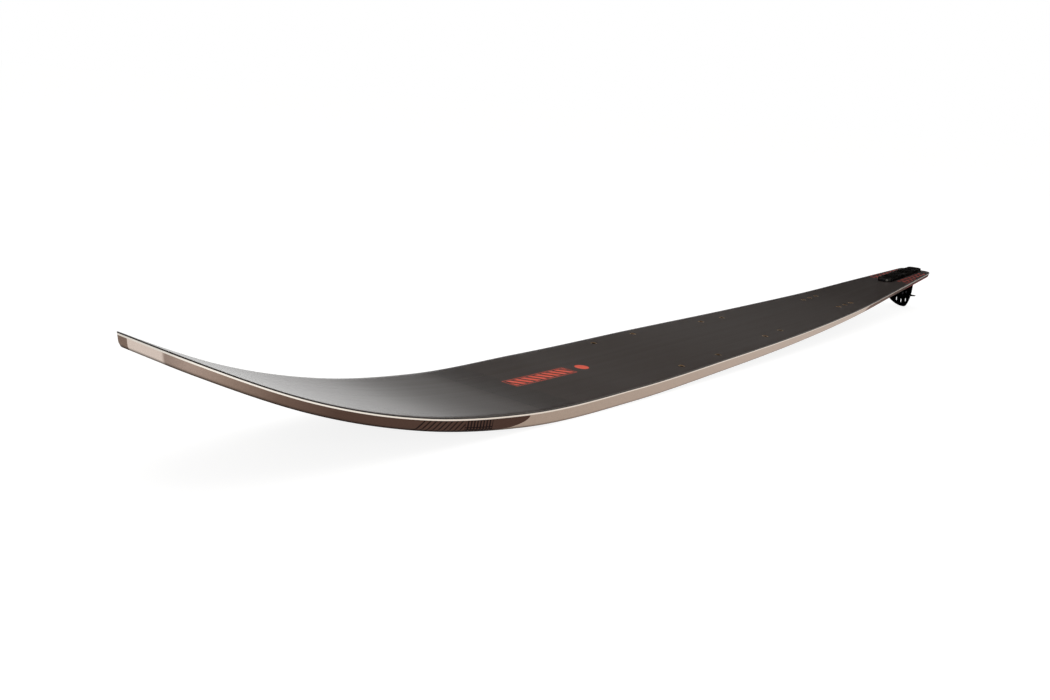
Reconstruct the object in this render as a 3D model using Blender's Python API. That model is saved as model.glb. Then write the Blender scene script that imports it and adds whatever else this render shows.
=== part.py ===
"""Slalom water ski with its binding inserts and its adjustable fin, in metres, +Z up.

The ski's own frame has +X from the tail (0) to the nose, +Y to its left and Z 0 at the lowest
base line. Its tail assembly is built in the seat frame, which lies on the straight tail deck:
+X along the deck towards the nose, +Z square out of it. The whole ski then stands as it rests
on a floor, on its belly and the fin's lower edge.
"""
from math import atan, atan2, cos, pi, radians, sin, sqrt, tan

import bmesh
import bpy
import numpy as np
from mathutils import Matrix, Vector

# Hull
LENGTH = 1.728
SEAT_LENGTH = 0.200          # straight stretch of tail that carries the fin block
# (distance from tail, half width), (distance, height of the base), (distance, thickness)
PLAN = [(0.0, 0.027), (0.188, 0.0425), (0.535, 0.068), (0.930, 0.0843), (1.230, 0.0875),
        (1.420, 0.0803), (1.545, 0.0722), (1.650, 0.0612), (LENGTH, 0.0512)]
ROCKER = [(0.0, 0.0258), (SEAT_LENGTH, 0.0176), (0.387, 0.0087), (0.634, 0.0023), (0.900, 0.0),
          (1.130, 0.0003), (1.328, 0.0087), (1.477, 0.0337), (1.605, 0.0727), (LENGTH, 0.1282)]
THICKNESS = [(0.0, 0.0110), (SEAT_LENGTH, 0.0110), (0.535, 0.0138), (0.930, 0.0178),
             (1.328, 0.0177), (1.526, 0.0142), (LENGTH, 0.0122)]
TUNNEL = [(0.0, 0.0008), (0.220, 0.0008), (0.450, 0.0038), (1.250, 0.0042), (1.480, 0.0006),
          (LENGTH, 0.0)]
TAIL_CORNER = 0.014
NOSE_CORNER = 0.021
STATION_STEP = 0.048
WALL_LEAN = 0.0015           # side wall draws in towards the base
BEVEL_RISE = 0.0032
BEVEL_WIDTH = 0.0034
RAIL_WIDTH = 0.0090          # flat strip between bevel and tunnel
TOP_EDGE = 0.0008

# Laminate
GAP = 0.0003                 # seam between pieces that touch
CUT = 0.002                  # how far a cutter stands out of what it cuts
SKIN = 0.0012
SHELL_WALL = 0.0024
SHELL_BASE = 0.0014
PAD_THICKNESS = 0.0030
PAD_MARGIN = 0.012
PAD_SIDE_CLEAR = 0.002       # pad to the core's side where the ski is too narrow for the margin

# Binding inserts: (distance from tail, half spacing) of each pair
INSERT_ROWS = {"rear": [(0.3816, 0.0301), (0.4056, 0.0301), (0.4296, 0.0301)],
               "middle": [(0.6771, 0.0471), (0.7333, 0.0510)],
               "front": [(0.8970, 0.0658), (0.9914, 0.0664)]}
INSERT_FLANGE = 0.0046
INSERT_BODY = 0.0040
INSERT_BORE = 0.0025
INSERT_DEPTH = 0.0065
INSERT_FLOOR = 0.0010
INSERT_FLANGE_DEPTH = 0.0012
INSERT_SUNK = 0.00015

# Fin block
BLOCK_CENTRE = 0.088         # from the tail
BLOCK_LENGTH = 0.160
BLOCK_WIDTH = 0.0245
BLOCK_HEIGHT = 0.0058
BLOCK_FRONT_CORNER = 0.010
BLOCK_REAR_CORNER = 0.008
BLOCK_EDGE = 0.0012
CHANNEL_END_WALL = 0.010
CHANNEL_LENGTH = BLOCK_LENGTH - 2 * CHANNEL_END_WALL
CHANNEL_ROOF = 0.0010
CHANNEL_TOP = BLOCK_HEIGHT - CHANNEL_ROOF
CHANNEL_CORNER = 0.0015
SCREW_END = 0.014            # end screws to the block's ends
SCREW_PITCH = BLOCK_LENGTH / 2 - SCREW_END
SCREW_SIDE = 0.0087
POCKET_RADIUS = 0.0042
POCKET_FLOOR = 0.0018
BLOCK_SCREW = 0.0019
BLOCK_HEAD = 0.0032
BLOCK_HEAD_HEIGHT = 0.0022
BLOCK_SCREW_REACH = 0.0066
BLOCK_INSERT = 0.0033
BLOCK_INSERT_BOTTOM = 0.0072

# Fin carriage
FIN_TRAVEL = 0.004           # fore and aft, each way
FIN_DEPTH_TRAVEL = 0.0015    # up and down, each way
FIN_THICKNESS = 0.0020
BAR_THICKNESS = 0.0022
BAR_BOTTOM = 0.0060          # below the deck
BAR_REAR_SLACK = 0.0010      # left in the channel at full travel
BAR_REAR = BAR_REAR_SLACK + FIN_TRAVEL - CHANNEL_LENGTH / 2
BAR_LUG = 0.0060
BAR_FRONT_SLACK = 0.0017
CLAMP_PLACES = (-0.048, -0.004, 0.040)
CLAMP_DROP = 0.0015
CLAMP_SCREW = 0.0015
CLAMP_HEAD = 0.0025
CLAMP_HEAD_DEPTH = 0.0011
CLAMP_SUNK = 0.0002
SOCKET_DEPTH = 0.0009
LENGTH_SCREW = 0.0010
LENGTH_SCREW_RISE = 0.0028
LENGTH_SCREW_SPARE = 0.0040  # clear way past its tip at full travel
LENGTH_HEAD = 0.00195
LENGTH_HEAD_DEPTH = 0.0025
LENGTH_HEAD_SUNK = 0.0008
DRIVER_SLOT = 0.0010
LOCK_SIDE = 0.0064
LOCK_RISE = 0.0030
LOCK_HEAD = 0.0021
LOCK_HEAD_SUNK = 0.0016
LOCK_REACH = 0.0070

# Fin, in the seat frame
FIN_REAR = -0.080
FIN_DEEPEST = -0.052
FIN_FRONT = 0.065
FIN_DEPTH = 0.0565           # below the base
FIN_HEEL = 0.0240            # where the straight rear edge ends, below the base
FIN_SWEEP = 1.30             # superellipse power of the leading edge
FIN_TOP = CHANNEL_TOP - GAP - FIN_DEPTH_TRAVEL
FIN_TAB_REAR = BAR_REAR
FIN_TAB_FRONT = CHANNEL_LENGTH / 2 - BAR_FRONT_SLACK - FIN_TRAVEL - BAR_LUG - GAP
FIN_BASE_CLEAR = 0.0012      # blade's shoulder to the base at full travel
FIN_STEP = FIN_TAB_FRONT - 2 * FIN_TRAVEL - LENGTH_SCREW_SPARE  # ahead of this the tab is cut down
FIN_STEP_CLEAR = 0.0013      # cut-down tab to the length screw at full travel
FIN_STEP_TOP = LENGTH_SCREW_RISE - LENGTH_SCREW - FIN_DEPTH_TRAVEL - FIN_STEP_CLEAR
FIN_SLOT_SIDE = 0.0010       # side clearance in the ski's slot
WINDOW_PLACES = [(-0.0050, -0.0448), (-0.0303, -0.0526), (-0.0540, -0.0552)]
WINDOW_LENGTH = 0.0112
WINDOW_WIDTH = 0.0076
WINDOW_LEAN = radians(62)

# Wing
WING_PIVOT = (-0.0225, -0.0370)
WING_ARM = 0.016             # pivot to angle screw
WING_ANGLE = radians(0)
WING_SWING = radians(4)
WING_SPAN = 0.0220            # centre line to tip
WING_ROOT = 0.028
WING_TIP = 0.009
WING_SWEEP = 0.0155
WING_THICKNESS = 0.0015
WING_CORNER = 0.003
WING_EDGE = 0.0004
CHEEK_THICKNESS = 0.0015
CHEEK_HEIGHT = 0.0075
CHEEK_CORNER = 0.004
CHEEK_SETBACK = 0.001        # cheek's ends to the blade's
CHEEK_DROP = 0.0035          # pivot to the blade's mid plane
WING_SCREW = 0.0015
WING_HEAD = 0.0027
WING_HEAD_HEIGHT = 0.0014
WING_NUT = 0.0029
WING_NUT_HEIGHT = 0.0020
WING_SCREW_SPARE = 0.0004    # past the nut

ROUND_SIDES = 16
SMALL_SIDES = 12
ARC_STEPS = 4


def clear_scene():
    for item in list(bpy.data.objects):
        bpy.data.objects.remove(item, do_unlink=True)


def material(name, colour, roughness, metallic=0.0):
    """A Principled material; colour is linear red, green, blue."""
    finish = bpy.data.materials.new(name)
    finish.use_nodes = True
    shader = finish.node_tree.nodes["Principled BSDF"]
    shader.inputs["Base Color"].default_value = (*colour, 1.0)
    shader.inputs["Roughness"].default_value = roughness
    shader.inputs["Metallic"].default_value = metallic
    finish.diffuse_color = (*colour, 1.0)
    return finish


def place(name, vertices, faces, finish=None, smooth=False, parent=None):
    """A new object from vertices and faces, with its normals made to point outwards."""
    mesh = bpy.data.meshes.new(name)
    mesh.from_pydata([tuple(vertex) for vertex in vertices], [], faces)
    shape = bmesh.new()
    shape.from_mesh(mesh)
    bmesh.ops.recalc_face_normals(shape, faces=shape.faces)
    shape.to_mesh(mesh)
    shape.free()
    item = bpy.data.objects.new(name, mesh)
    bpy.context.collection.objects.link(item)
    if finish:
        mesh.materials.append(finish)
    if smooth:
        mesh.shade_smooth()
        mesh.set_sharp_from_angle(angle=radians(35))
    item.parent = parent
    return item


def as_cutter(item):
    item.hide_render = True
    item.display_type = "WIRE"
    return item


def combine(item, other, operation="DIFFERENCE"):
    step = item.modifiers.new(other.name, "BOOLEAN")
    step.operation = operation
    step.solver = "EXACT"
    step.object = other


def empty(name, location, tilt=0.0, parent=None):
    """A frame at a place, turned about Y."""
    frame = bpy.data.objects.new(name, None)
    frame.empty_display_size = 0.02
    frame.location = location
    frame.rotation_euler = (0.0, tilt, 0.0)
    bpy.context.collection.objects.link(frame)
    frame.parent = parent
    return frame


def through(points, straight_start=False):
    """A smooth curve through points: cubic spans whose slopes blend the neighbouring chords."""
    x, y = np.array(points, dtype=float).T
    step = np.diff(x)
    chord = np.diff(y) / step
    slope = np.empty(len(x))
    slope[1:-1] = (chord[:-1] * step[1:] + chord[1:] * step[:-1]) / (step[:-1] + step[1:])
    slope[0] = 1.5 * chord[0] - 0.5 * slope[1]
    slope[-1] = 1.5 * chord[-1] - 0.5 * slope[-2]
    if straight_start:
        slope[:2] = chord[0]

    def value(at):
        span = int(np.clip(np.searchsorted(x, at) - 1, 0, len(step) - 1))
        width = step[span]
        t = (at - x[span]) / width
        return float((2 * t**3 - 3 * t**2 + 1) * y[span] + (t**3 - 2 * t**2 + t) * width * slope[span]
                     + (3 * t**2 - 2 * t**3) * y[span + 1] + (t**3 - t**2) * width * slope[span + 1])
    return value


plan = through(PLAN)
rocker = through(ROCKER, straight_start=True)
thickness = through(THICKNESS, straight_start=True)
tunnel = through(TUNNEL, straight_start=True)


def deck(x):
    return rocker(x) + thickness(x)


def corner(end, radius):
    """The arc that rounds the plan's end: its centre, radius and the side's lean beside it."""
    inward = 1 if end == 0.0 else -1
    reach = 0.002
    lean = atan((plan(end + inward * reach) - plan(end)) / reach)
    return end + inward * radius, plan(end) - radius * (1 - sin(lean)) / cos(lean), radius, lean


TAIL_ARC = corner(0.0, TAIL_CORNER)
NOSE_ARC = corner(LENGTH, NOSE_CORNER)


def half_width(x, inset=0.0):
    """Half width at x of the plan drawn in by inset, with its rounded ends."""
    reach = 0.001
    slope = (plan(min(x + reach, LENGTH)) - plan(max(x - reach, 0.0))) / (2 * reach)
    width = plan(x) - inset * sqrt(1 + slope * slope)
    for outward, (centre_x, centre_y, radius, lean) in ((-1, TAIL_ARC), (1, NOSE_ARC)):
        beyond = outward * (x - centre_x)
        if beyond > (radius - inset) * sin(lean):
            width = centre_y + sqrt(max((radius - inset) ** 2 - beyond ** 2, 0.0))
    return width


def stations(inset=0.0, start=0.0, finish=LENGTH):
    """Section places: closer round the end corners, on one common even row between them."""
    low, _, radius, lean = TAIL_ARC
    places = [low - (radius - inset) * sin(turn) for turn in np.linspace(pi / 2, lean, ARC_STEPS + 1)]
    high, _, radius, lean = NOSE_ARC
    places += list(np.linspace(low, high, round((high - low) / STATION_STEP) + 1))
    places += [high + (radius - inset) * sin(turn) for turn in np.linspace(lean, pi / 2, ARC_STEPS + 1)]
    kept = [x for x in places if start <= x <= finish]
    if start > 0:
        kept.insert(0, start)
    if finish < LENGTH:
        kept.append(finish)
    return kept


def base_half(x, inset=0.0, rise=0.0):
    """The base from the side wall's foot in to the centre line, as (y, z)."""
    width = half_width(x, inset)
    low = rocker(x) + rise
    lean = min(WALL_LEAN, width * 0.1)
    rail = width - lean - BEVEL_WIDTH
    flat = max(rail - RAIL_WIDTH, width * 0.3)
    depth = tunnel(x)
    points = [(width - lean, low + BEVEL_RISE), (rail, low)]
    for share in (1.0, 0.66, 0.33, 0.0):
        points.append((flat * share, low + depth * cos(pi / 2 * share) ** 2))
    return points


def hull_section(x, inset, drop, rise=0.0, lift=0.0):
    """A closed section: top drop below the deck, base raised by rise, opened upwards by lift."""
    width = half_width(x, inset)
    top = deck(x) - drop
    right = [(width, top + lift), (width, top)] if lift else [(width, top)]
    right += base_half(x, inset, rise)
    left = [(-y, z) for y, z in reversed(right[:-1])]
    return right + left


def band_section(x, width, top, bottom, edge=0.0):
    """A closed flat band across the ski between two depths below the deck."""
    high = deck(x) - top
    low = deck(x) - bottom
    right = [(width - edge, high), (width, high - edge)] if edge else [(width, high)]
    right.append((width, low))
    return right + [(-y, z) for y, z in reversed(right)]


def loft(name, places, section, **options):
    """Skin the sections at the places along X and close both ends."""
    rings = [[(x, y, z) for y, z in section(x)] for x in places]
    count = len(rings[0])
    vertices = [vertex for ring in rings for vertex in ring]
    faces = []
    for row in range(len(rings) - 1):
        for i in range(count):
            j = (i + 1) % count
            a = row * count
            faces.append((a + i, a + j, a + count + j, a + count + i))
    faces.append(tuple(range(count)))
    faces.append(tuple(range((len(rings) - 1) * count, len(rings) * count)))
    return place(name, vertices, faces, smooth=True, **options)


def rounded(corners, steps=ARC_STEPS):
    """An outline from (x, y, radius) corners, each rounded by an arc."""
    outline = []
    for i, (x, y, radius) in enumerate(corners):
        here = Vector((x, y))
        if radius <= 0:
            outline.append((x, y))
            continue
        before = (Vector(corners[i - 1][:2]) - here).normalized()
        after = (Vector(corners[(i + 1) % len(corners)][:2]) - here).normalized()
        half = before.angle(after) / 2
        centre = here + (before + after).normalized() * (radius / sin(half))
        first = here + before * (radius / tan(half)) - centre
        turn = pi - 2 * half
        sense = 1 if before.cross(after) < 0 else -1
        for k in range(steps + 1):
            spin = Matrix.Rotation(sense * turn * k / steps, 2)
            point = centre + spin @ first
            outline.append((point.x, point.y))
    return outline


def circle(centre, radius, sides=SMALL_SIDES):
    """A round hole's outline."""
    turns = [2 * pi * k / sides for k in range(sides)]
    return [(centre[0] + radius * cos(turn), centre[1] + radius * sin(turn)) for turn in turns]


def obround(centre, length, width, lean, steps=6):
    """A slot outline: two half rounds joined, its long way leaning from X."""
    reach = (length - width) / 2
    outline = []
    for side in (0, 1):
        for k in range(steps + 1):
            turn = lean - pi / 2 + side * pi + pi * k / steps
            shift = reach if side == 0 else -reach
            outline.append((centre[0] + shift * cos(lean) + width / 2 * cos(turn),
                            centre[1] + shift * sin(lean) + width / 2 * sin(turn)))
    return outline


def slab(name, outlines, low, high, upright=False, **options):
    """Outlines extruded from low to high: plan outlines along Z, upright ones along Y."""
    vertices = []
    faces = []
    for outline in outlines:
        start = len(vertices)
        count = len(outline)
        for level in (low, high):
            vertices += [(x, level, y) if upright else (x, y, level) for x, y in outline]
        faces.append(tuple(range(start, start + count)))
        faces.append(tuple(range(start + count, start + 2 * count)))
        for i in range(count):
            j = (i + 1) % count
            faces.append((start + i, start + j, start + count + j, start + count + i))
    return place(name, vertices, faces, **options)


def turned(name, profile, centre=(0.0, 0.0, 0.0), along="Z", sides=ROUND_SIDES, bored=False, **options):
    """A turned piece: (radius, height) profile round a line along X, Y or Z.

    A bored profile is a closed loop; another one starts and ends on the axis."""
    vertices = []
    faces = []
    rings = []
    for radius, height in profile:
        if radius == 0:
            rings.append([len(vertices)])
            vertices.append((0.0, 0.0, height))
            continue
        rings.append(list(range(len(vertices), len(vertices) + sides)))
        for k in range(sides):
            turn = 2 * pi * k / sides
            vertices.append((radius * cos(turn), radius * sin(turn), height))
    pairs = list(zip(rings, rings[1:]))
    if bored:
        pairs.append((rings[-1], rings[0]))
    for lower, upper in pairs:
        for k in range(sides):
            j = (k + 1) % sides
            corners = [lower[k % len(lower)], lower[j % len(lower)], upper[j % len(upper)],
                       upper[k % len(upper)]]
            faces.append(tuple(dict.fromkeys(corners)))
    turn = {"X": Matrix.Rotation(pi / 2, 3, "Y"), "Y": Matrix.Rotation(-pi / 2, 3, "X"),
            "Z": Matrix.Identity(3)}[along]
    item = place(name, [turn @ Vector(vertex) for vertex in vertices], faces, smooth=True, **options)
    item.location = centre
    return item


def holes(name, places, radius, low, high, parent, sides=ROUND_SIDES):
    """One cutter of upright round holes."""
    outlines = [circle(centre, radius, sides) for centre in places]
    return as_cutter(slab(name, outlines, low, high, parent=parent))


def make_hull(frame, finish):
    """Top skin, foam core with its hard tail block and insert pads, and the base shell."""
    under_skin = SKIN + GAP
    core_inset = SHELL_WALL + GAP
    core_rise = SHELL_BASE + GAP
    skin = loft("deck_skin", stations(), lambda x: band_section(x, half_width(x), 0.0, SKIN, TOP_EDGE),
                finish=finish["deck"], parent=frame)
    shell = loft("base_shell", stations(), lambda x: hull_section(x, 0.0, under_skin),
                 finish=finish["shell"], parent=frame)
    hollow = as_cutter(loft("shell_hollow", stations(SHELL_WALL),
                            lambda x: hull_section(x, SHELL_WALL, under_skin, SHELL_BASE, under_skin),
                            parent=frame))
    combine(shell, hollow)

    def inner(x):
        return hull_section(x, core_inset, under_skin, core_rise)
    core = loft("foam_core", stations(core_inset, SEAT_LENGTH + GAP), inner,
                finish=finish["foam"], parent=frame)
    tail = loft("tail_block", stations(core_inset, 0.0, SEAT_LENGTH), inner,
                finish=finish["hard_foam"], parent=frame)

    pads = []
    for zone, rows in INSERT_ROWS.items():
        start = rows[0][0] - PAD_MARGIN
        end = rows[-1][0] + PAD_MARGIN
        side = min(max(y for _, y in rows) + PAD_MARGIN,
                   half_width(start, core_inset) - PAD_SIDE_CLEAR)
        bottom = under_skin + PAD_THICKNESS
        pads.append(loft(f"{zone}_insert_pad", stations(0.0, start, end),
                         lambda x: band_section(x, side, under_skin, bottom),
                         finish=finish["pad"], parent=frame))
        seat = loft(f"{zone}_pad_seat", stations(0.0, start - GAP, end + GAP),
                    lambda x: band_section(x, side + GAP, 0.0, bottom + GAP), parent=frame)
        combine(core, as_cutter(seat))
    return skin, shell, core, tail, pads


def make_inserts(frame, finish, skin, core, pads):
    """Threaded binding inserts, flush in the deck, and the holes that hold them."""
    outlines = []
    number = 0
    for rows in INSERT_ROWS.values():
        for x, side in rows:
            for y in (side, -side):
                number += 1
                top = deck(x) - INSERT_SUNK
                bottom = top - INSERT_DEPTH
                floor = bottom + INSERT_FLOOR
                neck = top - INSERT_FLANGE_DEPTH
                turned(f"binding_insert_{number:02d}",
                       [(0, bottom), (INSERT_BODY, bottom), (INSERT_BODY, neck + INSERT_BODY - INSERT_FLANGE),
                        (INSERT_FLANGE, neck), (INSERT_FLANGE, top), (INSERT_BORE, top),
                        (INSERT_BORE, floor), (0, floor)],
                       (x, y, 0.0), sides=SMALL_SIDES, finish=finish["insert"], parent=frame)
                outlines.append((x, y, top))
    for zone, rows in INSERT_ROWS.items():
        members = [(x, y, top) for x, y, top in outlines if any(abs(x - row[0]) < 1e-6 for row in rows)]
        top = max(member[2] for member in members) + CUT
        bottom = min(member[2] for member in members) - INSERT_DEPTH - GAP
        cutter = holes(f"{zone}_insert_holes", [member[:2] for member in members],
                       INSERT_FLANGE + GAP, bottom, top, frame, SMALL_SIDES)
        combine(skin, cutter)
        combine(core, cutter)
        combine(pads[list(INSERT_ROWS).index(zone)], cutter)


def block_outline(inset=0.0):
    """Plan of the fin block drawn in by inset, nose end at +X."""
    end = BLOCK_LENGTH / 2 - inset
    side = BLOCK_WIDTH / 2 - inset
    front = BLOCK_FRONT_CORNER - inset
    rear = BLOCK_REAR_CORNER - inset
    return rounded([(end, -side, front), (end, side, front), (-end, side, rear), (-end, -side, rear)])


def make_block(seat, finish):
    """Fin block: rounded cap with six screw pockets that open through its sides."""
    layers = [(0.0, GAP), (0.0, BLOCK_HEIGHT - BLOCK_EDGE),
              (BLOCK_EDGE * 0.3, BLOCK_HEIGHT - BLOCK_EDGE * 0.3), (BLOCK_EDGE, BLOCK_HEIGHT)]
    rings = [[(x, y, level) for x, y in block_outline(inset)] for inset, level in layers]
    count = len(rings[0])
    faces = [tuple(range(count)), tuple(range(3 * count, 4 * count))]
    for row in range(3):
        for i in range(count):
            j = (i + 1) % count
            faces.append((row * count + i, row * count + j, row * count + count + j, row * count + count + i))
    block = place("fin_block", [vertex for ring in rings for vertex in ring], faces,
                  finish=finish["block"], smooth=True, parent=seat)
    places = [(step * SCREW_PITCH, side * SCREW_SIDE) for step in (-1, 0, 1) for side in (-1, 1)]
    above = BLOCK_HEIGHT + CUT
    combine(block, holes("screw_pockets", places, POCKET_RADIUS, POCKET_FLOOR, above, seat))
    combine(block, holes("screw_shank_holes", places, BLOCK_SCREW + GAP, -CUT, above, seat, SMALL_SIDES))
    channel = slab("block_channel", [channel_outline()], -CUT, CHANNEL_TOP, parent=seat)
    combine(block, as_cutter(channel))
    start = CHANNEL_LENGTH / 2 - CUT
    front = BLOCK_LENGTH / 2
    shoulder = front - LENGTH_HEAD_SUNK - LENGTH_HEAD_DEPTH - GAP
    bore = turned("length_screw_bore",
                  [(0, start), (LENGTH_SCREW + GAP, start), (LENGTH_SCREW + GAP, shoulder),
                   (LENGTH_HEAD + GAP, shoulder), (LENGTH_HEAD + GAP, front + CUT), (0, front + CUT)],
                  (0.0, 0.0, LENGTH_SCREW_RISE), "X", SMALL_SIDES, parent=seat)
    combine(block, as_cutter(bore))
    end = front - LOCK_REACH - 4 * GAP
    shoulder = front - LOCK_HEAD_SUNK
    lock = turned("lock_screw_bore",
                  [(0, end), (CLAMP_SCREW + GAP, end), (CLAMP_SCREW + GAP, shoulder),
                   (LOCK_HEAD + GAP, shoulder), (LOCK_HEAD + GAP, front + CUT), (0, front + CUT)],
                  (0.0, LOCK_SIDE, LOCK_RISE), "X", SMALL_SIDES, parent=seat)
    combine(block, as_cutter(lock))
    low = POCKET_FLOOR + GAP
    crown = low + BLOCK_HEAD_HEIGHT
    well = low + BLOCK_HEAD_HEIGHT * 0.4
    socket = BLOCK_SCREW * 0.9
    tip = -BLOCK_SCREW_REACH
    for number, (x, y) in enumerate(places, 1):
        turned(f"block_screw_{number}",
               [(0, tip), (BLOCK_SCREW * 0.8, tip), (BLOCK_SCREW, tip + BLOCK_SCREW * 0.26),
                (BLOCK_SCREW, low), (BLOCK_HEAD, low), (BLOCK_HEAD, low + BLOCK_HEAD_HEIGHT * 0.6),
                (BLOCK_HEAD * 0.8, crown), (socket, crown), (socket, well), (0, well)],
               (x, y, 0.0), sides=SMALL_SIDES, finish=finish["steel"], parent=seat)
        top = -SKIN - 2 * GAP
        turned(f"block_insert_{number}",
               [(BLOCK_SCREW + GAP, -BLOCK_INSERT_BOTTOM), (BLOCK_INSERT, -BLOCK_INSERT_BOTTOM),
                (BLOCK_INSERT, top), (BLOCK_SCREW + GAP, top)],
               (x, y, 0.0), sides=SMALL_SIDES, bored=True, finish=finish["insert"], parent=seat)
    return places


def channel_outline():
    """Plan of the channel that the two clamp bars slide in."""
    half = CHANNEL_LENGTH / 2
    side = FIN_THICKNESS / 2 + GAP + BAR_THICKNESS + GAP
    return rounded([(half, -side, CHANNEL_CORNER), (half, side, CHANNEL_CORNER),
                    (-half, side, CHANNEL_CORNER), (-half, -side, CHANNEL_CORNER)], 3)


def cut_tail(seat, skin, shell, tail, places):
    """Openings through the tail for the fin, its clamp bars and the block's screws."""
    well = slab("clamp_well", [channel_outline()], -BAR_BOTTOM - GAP, CUT, parent=seat)
    narrow = FIN_THICKNESS / 2 + FIN_SLOT_SIDE
    rear = FIN_TAB_REAR - FIN_TRAVEL - GAP
    front = FIN_TAB_FRONT + FIN_TRAVEL + GAP
    slot = slab("fin_slot", [rounded([(front, -narrow, narrow * 0.9), (front, narrow, narrow * 0.9),
                                      (rear, narrow, narrow * 0.9), (rear, -narrow, narrow * 0.9)], 3)],
                -thickness(SEAT_LENGTH) - 2 * CUT, CUT - BAR_BOTTOM, parent=seat)
    as_cutter(well)
    as_cutter(slot)
    combine(skin, well)
    combine(tail, well)
    combine(tail, slot)
    combine(shell, slot)
    shanks = holes("skin_screw_holes", places, BLOCK_SCREW + GAP, -SKIN - CUT, CUT, seat, SMALL_SIDES)
    combine(skin, shanks)
    seats = holes("block_insert_seats", places, BLOCK_INSERT + GAP, -BLOCK_INSERT_BOTTOM - GAP, CUT, seat,
                  SMALL_SIDES)
    combine(tail, seats)


def make_carriage(slide, finish):
    """Two bars that clamp the fin's tab; the left one ends in the length screw's tapped lug."""
    inner = FIN_THICKNESS / 2 + GAP
    outer = inner + BAR_THICKNESS
    top = CHANNEL_TOP - GAP
    lug_rear = FIN_TAB_FRONT + GAP
    lug_front = lug_rear + BAR_LUG

    def bar(name, side, front):
        return slab(name, [[(BAR_REAR, -BAR_BOTTOM), (front, -BAR_BOTTOM), (front, top), (BAR_REAR, top)]],
                    side * inner, side * outer, upright=True, finish=finish["bar"], parent=slide)
    left = bar("clamp_bar_left", 1, lug_front)
    right = bar("clamp_bar_right", -1, lug_rear - 2 * GAP)
    lug = slab("bar_lug", [[(lug_rear, -BAR_BOTTOM), (lug_front, -BAR_BOTTOM), (lug_front, top),
                            (lug_rear, top)]], -outer, inner + BAR_THICKNESS / 2, upright=True, parent=slide)
    combine(left, as_cutter(lug), "UNION")
    # The length screw passes the lug and clears the bars' inner edges behind it.
    clear = LENGTH_SCREW + GAP
    for name, start, end, bars in (("lug_bore", lug_rear - CUT, lug_front + CUT, [left]),
                                   ("bar_groove", FIN_STEP, lug_rear + CUT / 2, [left, right])):
        cutter = turned(name, [(0, start), (clear, start), (clear, end), (0, end)],
                        (0.0, 0.0, LENGTH_SCREW_RISE), "X", SMALL_SIDES, parent=slide)
        as_cutter(cutter)
        for member in bars:
            combine(member, cutter)
    face = outer - CLAMP_SUNK
    shoulder = face - CLAMP_HEAD_DEPTH
    for number, x in enumerate(CLAMP_PLACES, 1):
        centre = (x, 0.0, -CLAMP_DROP)
        turned(f"clamp_screw_{number}",
               [(0, -face), (CLAMP_SCREW, -face), (CLAMP_SCREW, shoulder), (CLAMP_HEAD, shoulder),
                (CLAMP_HEAD, face), (CLAMP_SCREW * 0.7, face), (CLAMP_SCREW * 0.7, face - SOCKET_DEPTH),
                (0, face - SOCKET_DEPTH)],
               centre, "Y", SMALL_SIDES, finish=finish["steel"], parent=slide)
        bore = turned(f"clamp_bore_{number}",
                      [(0, -outer - CUT), (CLAMP_SCREW + GAP, -outer - CUT),
                       (CLAMP_SCREW + GAP, shoulder - GAP), (CLAMP_HEAD + GAP, shoulder - GAP),
                       (CLAMP_HEAD + GAP, outer + CUT), (0, outer + CUT)],
                      centre, "Y", SMALL_SIDES, parent=slide)
        as_cutter(bore)
        combine(left, bore)
        combine(right, bore)


def make_length_screw(seat, finish):
    """Screw held in the block's front wall that draws the carriage fore and aft."""
    front = BLOCK_LENGTH / 2 - LENGTH_HEAD_SUNK
    shoulder = front - LENGTH_HEAD_DEPTH
    tip = FIN_TAB_FRONT - FIN_TRAVEL
    edge = LENGTH_HEAD * 0.2
    axis = empty("length_screw_axis", (0.0, 0.0, LENGTH_SCREW_RISE), parent=seat)
    screw = turned("length_screw",
                   [(0, tip), (LENGTH_SCREW * 0.7, tip), (LENGTH_SCREW, tip + LENGTH_SCREW * 0.6),
                    (LENGTH_SCREW, shoulder), (LENGTH_HEAD, shoulder), (LENGTH_HEAD, front - edge),
                    (LENGTH_HEAD - edge, front), (0, front)],
                   along="X", sides=SMALL_SIDES, finish=finish["block"], parent=axis)
    half = DRIVER_SLOT / 2
    reach = LENGTH_HEAD + CUT
    blade = slab("screwdriver_slot", [[(front - DRIVER_SLOT, -half), (front + CUT, -half),
                                       (front + CUT, half), (front - DRIVER_SLOT, half)]],
                 -reach, reach, parent=axis)
    combine(screw, as_cutter(blade))


def make_lock_screw(seat, finish):
    """Bright round-headed screw beside it in the block's front end."""
    front = BLOCK_LENGTH / 2
    low = front - LOCK_HEAD_SUNK + GAP
    turned("lock_screw",
           [(0, front - LOCK_REACH), (CLAMP_SCREW, front - LOCK_REACH), (CLAMP_SCREW, low), (LOCK_HEAD, low),
            (LOCK_HEAD, low + LOCK_HEAD * 0.29), (LOCK_HEAD * 0.8, low + LOCK_HEAD * 0.52),
            (LOCK_HEAD * 0.4, low + LOCK_HEAD * 0.64), (0, low + LOCK_HEAD * 0.67)],
           (0.0, LOCK_SIDE, LOCK_RISE), "X", SMALL_SIDES, finish=finish["bright"], parent=seat)


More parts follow.
